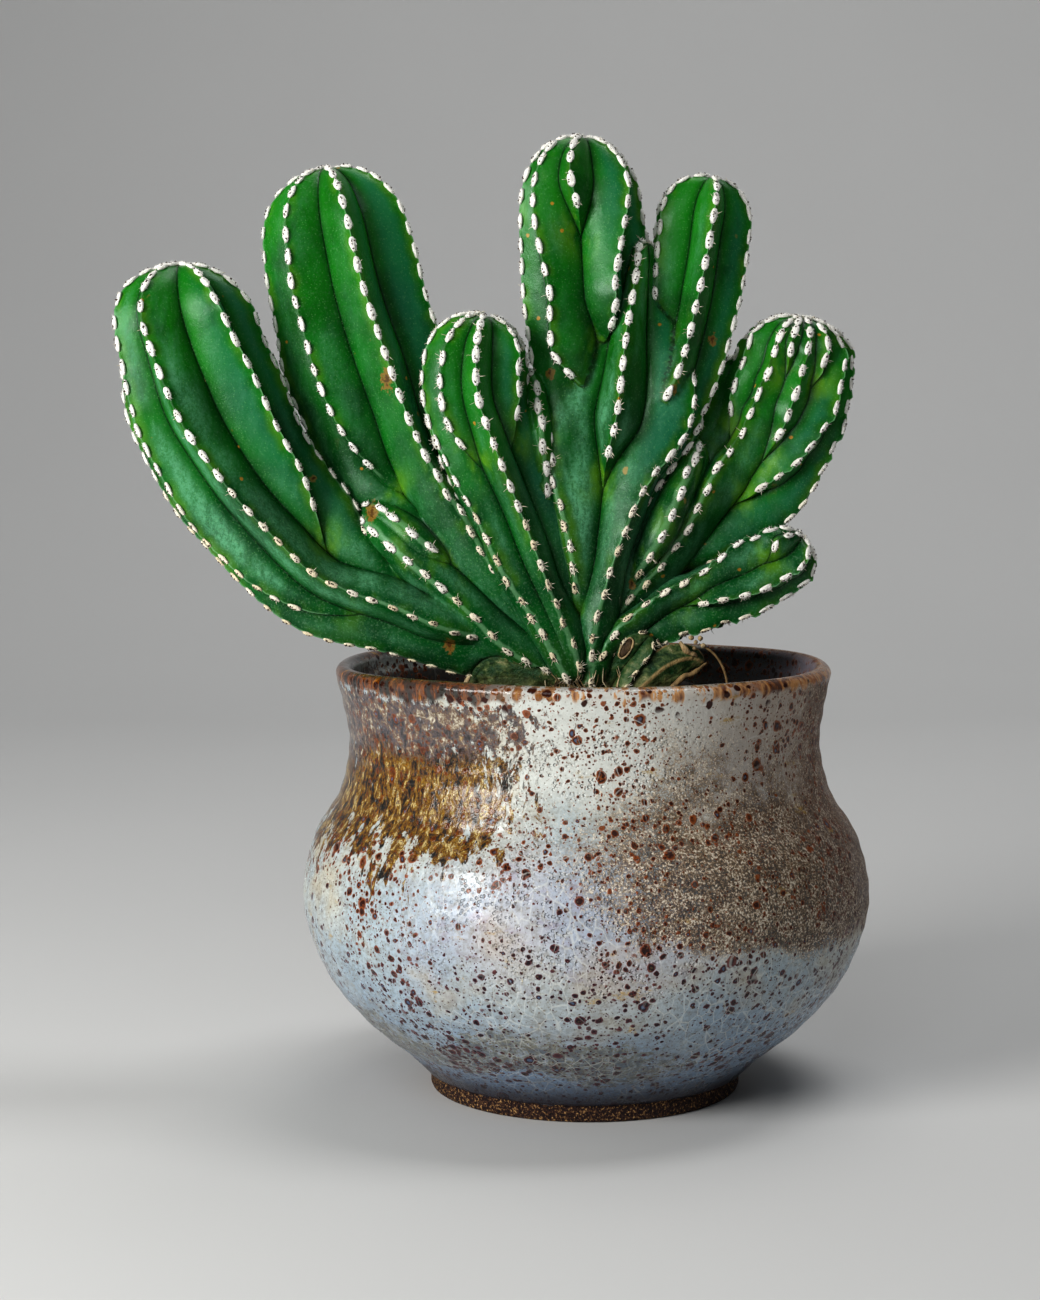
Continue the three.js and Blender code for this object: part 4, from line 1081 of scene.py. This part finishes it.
def skinFinish():
    f = Finish("cactusSkinFinish")
    crest, groove, seam = f.trait("crestGap"), f.trait("grooveGap"), f.trait("seamGap")
    tip, start, dry, web = f.trait("tipGap"), f.trait("ribStart"), f.trait("dry"), f.trait("web")
    x, y, z = f.split(f.place)
    clouds = f.noise(55, 3, 0.55)
    f.colour = f.mix(clouds.rise(0.35, 0.65), skin["deep"], skin["fresh"])
    # old skin is bluer, growing tips lighter and yellower
    old = (z + clouds * 0.05).fall(0.15, 0.225)
    f.coat(old * 0.5, skin["old"])
    patch = f.noise(38, 2, 0.5, f.drawn(1, 0.4))
    young = tip.fall(6, 52) * z.rise(0.15, 0.185) * patch.rise(0.3, 0.6, 0.3, 1)
    f.coat(young * 0.7, skin["young"])
    # waxy bloom, brushed over the flanks in cloudy streaks, thicker low down; stronger on left-facing
    # flanks and on some lobes as painted light
    brushed = f.noise(80, 4, 0.55, f.drawn(0.5, 0.2), 0.4)
    wax = (brushed + z.fall(0.14, 0.2) * 0.07).rise(0.4, 0.62)
    flank = groove.rise(0.8, 4.5) * crest.rise(0.8, 4)
    strokes = f.noise(420, 4, 0.8, f.drawn(0.28, 0.9), 0.5)
    frost = (strokes * 0.5 + f.noise(1300, 3, 0.75) * 0.5).rise(0.4, 0.6, 0.4, 1.2)
    bloom = wax * flank * frost * (f.trait("bloom") + z.fall(0.13, 0.17) * 0.3)
    f.coat(bloom * z.rise(0.11, 0.14, 0.3, 1) * 0.6, skin["bloom"])
    # painted light: a cool blue-green on flanks facing right, as if lit from behind on the right
    f.coat(f.trait("cool") * flank * z.rise(0.13, 0.17) * 0.5, skin["cool"])
    murk = f.noise(64, 4, 0.65, f.drawn(0.6, 0.95)).rise(0.52, 0.7)
    f.coat(murk * 0.5, skin["murk"])
    # yellow-green in streaks by the crests and where ribs start
    lime = f.noise(120, 3, 0.6, f.drawn(0.6, 0.8)).rise(0.44, 0.62) * z.rise(0.115, 0.15, 0.4, 1)
    f.coat(((start * 1.4) | (crest.fall(0.6, 3.4) * 0.6)) * lime * 0.66, skin["lime"])
    f.coat(z.fall(0.11, 0.137) * 0.42, skin["low"])
    # thin pale line along each crest; painted shade darkening each groove and the joints between lobes,
    # with a thin darker line of painted shade in the deepest part
    f.coat(crest.fall(0.15, 0.5) * start.fall(0.1, 0.5) * 0.4, skin["crestLine"])
    joint = seam + web.rise(0.6, 1.6) * 1.5
    f.coat((groove & joint).fall(0.2, 2.0) * 0.4, skin["groove"])
    f.coat((groove & joint).fall(0.1, 0.45) * 0.75, skin["grooveShadeLine"])
    # pores and fine dust
    pores, _ = f.cells(1150)
    f.coat(pores.fall(0.1, 0.26) * 0.24, skin["pores"])
    dust = f.noise(1500, 2, 0.7).rise(0.5, 0.75)
    f.coat(dust * 0.15 * (old | 0.4), skin["dust"])
    # healed scars: corky discs with a darker middle, and small orange nicks
    scarGap, random = f.cells(72, f.shaken(500, 0.002))
    pick = f.split(random, "Color")
    scars = scarGap.fall(0.05, 0.085) * pick[0].rise(0.72, 0.74)
    f.coat(scars * 0.8, skin["scar"])
    f.coat(scarGap.fall(0.02, 0.05) * pick[0].rise(0.8, 0.82), skin["scarMiddle"])
    nicks, random = f.cells(210, f.shaken(500, 0.001, 0.4))
    nick = nicks.fall(0.08, 0.14) * f.split(random, "Color")[1].rise(0.86, 0.88)
    f.coat(nick * 0.8, skin["nick"])
    # healed wounds on the ribs: brown, with a paler border
    fibre = f.noise(300, 4, 0.7, f.drawn(0.3))
    front = y.fall(-0.003, 0.001)
    torn = f.noise(900, 3, 0.7) - 0.5
    for across, high, size in skin["wounds"]:
        along, up = (x - across * mm) * (1 / size / mm), (z - high * mm) * (0.62 / size / mm)
        gap = f.math("SQRT", along * along + up * up) + torn * 3.2
        f.coat(gap.fall(0.8, 1.3) * front * 0.8, skin["woundEdge"])
        f.coat(gap.fall(0.2, 0.7) * front * 0.8, skin["wound"])

    # dry tissue at the foot: olive scales, tan fibres and papery edges
    scaly = f.noise(260, 4, 0.7, f.drawn(1.5, 0.9))
    olive = dry.rise(0.1, 0.6) * scaly.rise(0.3, 0.5, 0.6, 0.95)
    f.coat(olive, scaly.ramp(*skin["scales"]))
    papery = dry.rise(0.5, 0.6) * dry.fall(0.65, 0.75) * crest.fall(0.2, 0.8) * fibre.rise(0.36, 0.52)
    f.coat(papery * 0.8, skin["paper"])
    bark = (z + (fibre - 0.5) * 0.02).fall(0.104, 0.113) * 0.85
    f.coat(bark, fibre.ramp(*skin["bark"]))
    relief = brushed * 0.35 + f.noise(1500, 3, 0.7) * 0.2 + (bark | olive) * scaly * 4.0
    relief = relief + clouds * 0.8 + f.noise(150, 2) * 0.9
    roughness = bloom * 0.16 + (bark | olive) * 0.3 + f.noise(200, 3).rise(0.3, 0.7, 0.26, 0.36)
    return f.done(Roughness=roughness, Specular_IOR_Level=0.25, Specular_Tint=(0.72, 1, 0.84, 1),
                  Normal=f.bump(relief, 0.5, 0.0006))


# areoles: felt pads with spine stubs, short hairs and spines, on every crest

def padTemplate():
    points, faces = [(0, 0, 1)], []
    rings, sides = wool["rings"], wool["sides"]
    for i in range(1, rings):
        polar = math.pi * i / rings
        for j in range(sides):
            turn = math.tau * (j + 0.5 * (i % 2)) / sides
            wide = math.sin(polar)
            points.append((wide * math.cos(turn), wide * math.sin(turn), math.cos(polar)))
    points.append((0, 0, -1))
    for j in range(sides):
        n = (j + 1) % sides
        faces.append((0, 1 + j, 1 + n))
        end = 1 + (rings - 2) * sides
        faces.append((len(points) - 1, end + n, end + j))
        for i in range(rings - 2):
            a, b = 1 + i * sides + j, 1 + i * sides + n
            c, d = a + sides, b + sides
            faces.append((a, c, b))
            faces.append((b, c, d))
    return np.array(points, float), np.array(faces)


def tube(path, radii, sides=5):  # closed tube along a path, as points and triangles
    path = np.asarray(path, float)
    along = np.gradient(path, axis=0)
    along /= np.linalg.norm(along, axis=1, keepdims=True)
    side = np.cross(along, (0.3, 0.9, 0.2))
    side /= np.linalg.norm(side, axis=1, keepdims=True)
    other = np.cross(along, side)
    points, faces = [], []
    for k, radius in enumerate(np.broadcast_to(radii, len(path))):
        for j in range(sides):
            turn = math.tau * j / sides
            points.append(path[k] + (side[k] * math.cos(turn) + other[k] * math.sin(turn)) * radius)
    last = len(path) * sides
    for j in range(sides):
        n = (j + 1) % sides
        for k in range(len(path) - 1):
            a, b = k * sides + j, k * sides + n
            faces += [(a, b, b + sides), (a, b + sides, a + sides)]
        faces += [(last, n, j), (last + 1, last - sides + j, last - sides + n)]
    return np.vstack([points, [path[0]], [path[-1]]]), faces


def addPad(pads, template, seat, draw):  # one cushion of felt
    unit, faces = template
    shape = unit.copy()
    thick = 1 if draw.uniform() < 0.7 else -1  # which end is the thinner one
    shape[:, 1] *= 1 - wool["lopsided"] * shape[:, 0] * thick * draw.uniform(0.3, 1)
    shape *= seat["half"]
    shape[:, 2] = np.where(shape[:, 2] > 0, shape[:, 2] * 1.3, shape[:, 2] * 0.9)
    shape += draw.normal(size=shape.shape) * wool["fray"]
    pads.add(seat["base"] + shape @ seat["basis"], faces, seat["age"])


def addHairs(hairs, seat, draw):  # thin three-sided spikes out of the felt
    basis, half = seat["basis"], seat["half"]
    for _ in range(wool["hairs"]):
        turn, rise = draw.uniform(0, math.tau), draw.uniform(0.0, 1.0)
        way = np.array([math.cos(turn), math.sin(turn), 0]) * math.sqrt(1 - rise * rise)
        way[2] = rise
        root = seat["base"] + (way * half * (0.95, 0.95, 1.2)) @ basis
        lean = (way / half) @ basis + draw.normal(size=3) * 0.4
        lean /= np.linalg.norm(lean)
        side = np.cross(lean, draw.normal(size=3))
        side *= wool["hairWidth"] / np.linalg.norm(side)
        tip = root + lean * draw.uniform(*wool["hairLength"]) * seat["size"]
        corners = [root - side, root + side, root + np.cross(lean, side), tip]
        hairs.add(np.array(corners), [(0, 2, 1), (0, 1, 3), (1, 2, 3), (2, 0, 3)], seat["age"])


def addSpine(spines, root, lean, length, size, sides, shade):  # straight, tapered, closed
    lean = lean * (length / np.linalg.norm(lean))
    spines.add(*tube([root, root + lean * 0.6, root + lean], size, sides), shade)


def addSpines(spines, seat, spiny, draw):  # dark stubs through the felt, and pale spines round it
    middle, half = seat["middle"], seat["half"]
    along, across, out = seat["basis"]
    for _ in range(wool["dots"]):
        spot = along * half[0] * draw.uniform(-0.6, 0.6) + across * half[1] * draw.uniform(-0.45, 0.45)
        lean = out + draw.normal(size=3) * 0.3
        length = draw.uniform(*wool["dotLength"])
        addSpine(spines, middle + spot + out * half[2] * 0.9, lean, length, wool["dotSize"], 5, 1.0)
    count = wool["spines"] * spiny * (0.65 - 0.2 * seat["age"]) * draw.uniform(0.4, 1.2)
    for _ in range(round(count)):
        turn = draw.uniform(0, math.tau)
        flat = along * math.cos(turn) * 1.1 + across * math.sin(turn)
        lean = flat + out * draw.uniform(0.3, 0.9)
        length = draw.uniform(*wool["spineLength"])
        root = middle + flat * half[1] * 0.9 + out * wool["raised"]
        addSpine(spines, root, lean, length, wool["spineSize"], 3, draw.uniform(0, 0.2))


def buildWool(settle, made):
    draw = np.random.default_rng(21)
    template = padTemplate()
    pads, hairs, spines = Pieces(), Pieces(), Pieces()
    taken = []
    for name, rings, outward, places in made:
        for index, ringAt, toTip in places:
            column = index * 2 * growth["flankSteps"]
            low = int(ringAt)
            high = min(low + 1, len(rings) - 1)
            part = ringAt - low
            spot = rings[low, column] * (1 - part) + rings[high, column] * part
            settled = settle(spot)
            if settled is None or any(np.sum((spot - t) ** 2) < wool["crowded"] for t in taken[-400:]):
                continue
            taken.append(spot)
            middle, normal, shifted = settled
            along = rings[min(high + 2, len(rings) - 1), column] - rings[max(low - 2, 0), column]
            along /= np.linalg.norm(along)
            out = outward[low, column] + normal * min(1.5, shifted)
            out -= along * (out @ along)
            out /= np.linalg.norm(out)
            # older pads lower down are browner and smaller
            age = float(share(*wool["oldHeights"], middle[2]) * draw.uniform(0.5, 1)
                        * share(*wool["oldFromTip"], toTip))
            age = wool["offsetAge"] if name == "offset" else age
            size = draw.uniform(*wool["sizes"]) * (1 - wool["oldSmaller"] * age)
            half = np.array([wool["length"] * size * draw.uniform(*wool["lengths"]), wool["width"] * size,
                             wool["height"] * size]) / 2
            seat = dict(middle=middle, base=middle + out * wool["raised"], size=size, half=half, age=age,
                        basis=np.stack([along, np.cross(out, along), out]))
            addPad(pads, template, seat, draw)
            addHairs(hairs, seat, draw)
            addSpines(spines, seat, wool["spiny"].get(name, 1.0), draw)
    pads.piece("areoleFelt", feltFinish())
    hairs.piece("areoleHairs", feltFinish(), False)
    spines.piece("areoleSpines", spineFinish())


def feltFinish():
    f = Finish("areoleFeltFinish")
    age = f.trait("shade")
    fluff = f.noise(1300, 3, 0.7)
    f.colour = f.mix(age.rise(0.15, 0.9), (253, 251, 245), (238, 224, 190))
    f.coat(fluff.rise(0.36, 0.6, 0.3, 0), (176, 168, 146))
    return f.done(Roughness=0.95, Sheen_Weight=0.2, Sheen_Roughness=0.5,
                  Normal=f.bump(f.noise(2600, 3, 0.8), 0.7, 0.0003))


def spineFinish():
    f = Finish("spineFinish")
    dark = f.trait("shade") + (f.noise(900, 2) - 0.5) * 0.2
    f.colour = dark.ramp((0.1, 228, 220, 200), (0.35, 186, 160, 118), (0.7, 56, 36, 24))
    return f.done(Roughness=0.6)


# dry tissue at the foot of the plant: fibres, papery edges, knobs, one bare root and a scar

foot = dict(
    fibres=150, fibreRound=(-115, 115), fibreLow=(102, 105), fibreHigh=(106, 114), fibreAway=14,
    fibreSize=(0.09, 0.24), fibreTaper=(0.5, 0.9, 1, 0.9, 0.7, 0.3),
    fibreDrift=0.03, fibreLift=(0.05, 0.3),
    root=[(29.5, -9.5, 119.5), (33.3, -9, 117), (36, -8.5, 113), (37.2, -8, 108), (37.6, -7.5, 101)],
    rootSize=(0.2, 0.32, 0.36, 0.32, 0.28),
    edges=[[(18.5, -13.4, 107), (22, -13.8, 108.8), (26, -13, 111.3), (29, -12, 113),
            (31.8, -10.5, 114.6)],
           [(24, -13, 120), (26.5, -12.8, 117.8), (29, -12, 116), (31.6, -10.6, 114.8)],
           [(-33, -5, 105), (-32, -7.5, 108.5), (-30.5, -8, 111), (-28, -7, 113)]],
    edgeSize=(0.4, 0.65, 0.8, 0.6, 0.2),
    knobs=[(27.4, -10.4, 121.2), (28.6, -10.2, 120), (29.8, -10, 121), (30.6, -9.6, 119),
           (28.2, -11, 118.4)],
    knobSize=(0.4, 0.75),
    scar=dict(middle=(10.3, -14, 118.6), long=3.0, wide=1.3, lean=62, sides=32, lip=0.24, sunk=0.8),
)


def addFibres(dry, c, surface, draw):
    for _ in range(c["fibres"]):
        turn = math.radians(draw.uniform(*c["fibreRound"]))
        low, high = draw.uniform(*c["fibreLow"]), draw.uniform(*c["fibreHigh"])
        path = []
        for step in range(6):
            height = low + (high - low) * step / 5
            away = np.array([math.sin(turn) * c["fibreAway"], -math.cos(turn) * c["fibreAway"], height])
            turn += draw.normal() * c["fibreDrift"]
            hit, normal, _, _ = surface.find_nearest(away.tolist())
            path.append(np.array(hit) + np.array(normal) * draw.uniform(*c["fibreLift"]))
        size = draw.uniform(*c["fibreSize"])
        dry.add(*tube(path, np.array(c["fibreTaper"]) * size), draw.uniform())


def addScar(dry, c, surface):  # a healed scar on the offset: brown disc with a tan lip
    sides, lean, ring = c["sides"], math.radians(c["lean"]), []
    for k in range(sides + 1):
        turn = math.tau * k / sides
        across, along = c["wide"] * math.cos(turn), c["long"] * math.sin(turn)
        spot = np.array(c["middle"]) + (along * math.cos(lean) + across * math.sin(lean), 0,
                                        along * math.sin(lean) - across * math.cos(lean))
        hit, normal, _, _ = surface.ray_cast((spot[0], -40, spot[2]), (0, 1, 0))
        ring.append(np.array(hit) + np.array(normal) * 0.12)
    ring = np.array(ring)
    lip = c["lip"] + 0.08 * wobble(ring, 2, 91)
    dry.add(*tube(ring + wobble(ring, 2, 90)[:, None] * 0.1, lip, 6), 0.7)
    ring = ring[:-1]
    middle = ring.mean(0)
    disc = [middle + (0, -0.1, 0)]
    for out in (0.5, 0.97):
        disc += [middle + (p - middle) * out for p in ring]
    disc.append(middle + (0, c["sunk"], 0))
    fans = [(0, 1 + (k + 1) % sides, 1 + k) for k in range(sides)]
    for k in range(sides):
        a, b = 1 + k, 1 + (k + 1) % sides
        fans += [(a, b, b + sides), (a, b + sides, a + sides), (a + sides, b + sides, 2 * sides + 1)]
    dry.add(np.array(disc), fans, 0.12)


def sizesAlong(sizes, count):  # a few sizes, spread evenly over a path of this many points
    return np.interp(np.linspace(0, 1, count), np.linspace(0, 1, len(sizes)), sizes)


def buildFoot(c, surface):
    draw = np.random.default_rng(33)
    dry = Pieces()
    addFibres(dry, c, surface, draw)
    path = smoothPath(c["root"])
    dry.add(*tube(path, sizesAlong(c["rootSize"], len(path)), 9), 0.4)
    for k, line in enumerate(c["edges"]):
        path = smoothPath(line)
        path = path + wobble(path, 5, 40 + k)[:, None] * (0.3, 0.2, 0.5)
        size = sizesAlong(c["edgeSize"], len(path)) * (1 + 0.25 * wobble(path, 3, 60 + k))
        dry.add(*tube(path, size, 9), 0.45 + 0.2 * k)
    stone, faces = roundStone(2)
    for k, place in enumerate(c["knobs"]):
        lumps = 1 + 0.18 * wobble(stone * 8 + 60 * k, 9, 70 + k)
        dry.add(stone * lumps[:, None] * draw.uniform(*c["knobSize"]) + place, faces, 0.7)
    addScar(dry, c["scar"], surface)
    dry.piece("dryTissue", dryFinish(), True, "cactus_skin")


def smoothPath(points, most=24, perSpan=12):  # at most 24 points on a curve through these
    curve = curveThrough([(*p, 0, 0) for p in points], perSpan)[:, :3]
    return curve[::max(1, (len(points) - 1) * perSpan // most)][:most]


def dryFinish():
    f = Finish("dryTissueFinish")
    shade = f.trait("shade") + (f.noise(420, 4, 0.7) - 0.5) * 0.7
    f.colour = shade.ramp((0.1, 70, 52, 30), (0.35, 122, 98, 60), (0.6, 170, 140, 94),
                          (0.95, 214, 198, 160))
    streak = f.noise(900, 3, 0.7, f.drawn(0.3))
    f.coat(streak.fall(0.4, 0.55, 0.5, 0), (64, 46, 28))
    return f.done(Roughness=0.8, Normal=f.bump(streak, 0.8, 0.0005))


# floor, sweeping up behind

floorShape = dict(wide=4.0, front=-2.5, back=1.6, rise=2.4, bend=0.8, steps=16)  # in metres


def addFloor(c):
    profile = [(c["front"], 0.0), (c["back"] - c["bend"], 0.0)]
    for k in range(1, c["steps"] + 1):
        a = math.pi / 2 * k / c["steps"]
        profile.append((c["back"] - c["bend"] + c["bend"] * math.sin(a), c["bend"] * (1 - math.cos(a))))
    profile.append((c["back"], c["rise"]))
    points = np.array([(x, y, z) for y, z in profile for x in (-c["wide"], c["wide"])])
    faces = [(2 * k, 2 * k + 1, 2 * k + 3, 2 * k + 2) for k in range(len(profile) - 1)]
    f = Finish("paleFloor")
    f.colour = f.mix(f.noise(3, 2), (206, 206, 205), (212, 212, 211))
    floor = addPiece("floor", points, faces, f.done(Roughness=0.85))


addCamera(cameraSetup)
addLights()
addFloor(floorShape)
print("camera, lights and floor are in")
buildPot(potShape)
buildSoil(soilShape)
buildCactus()
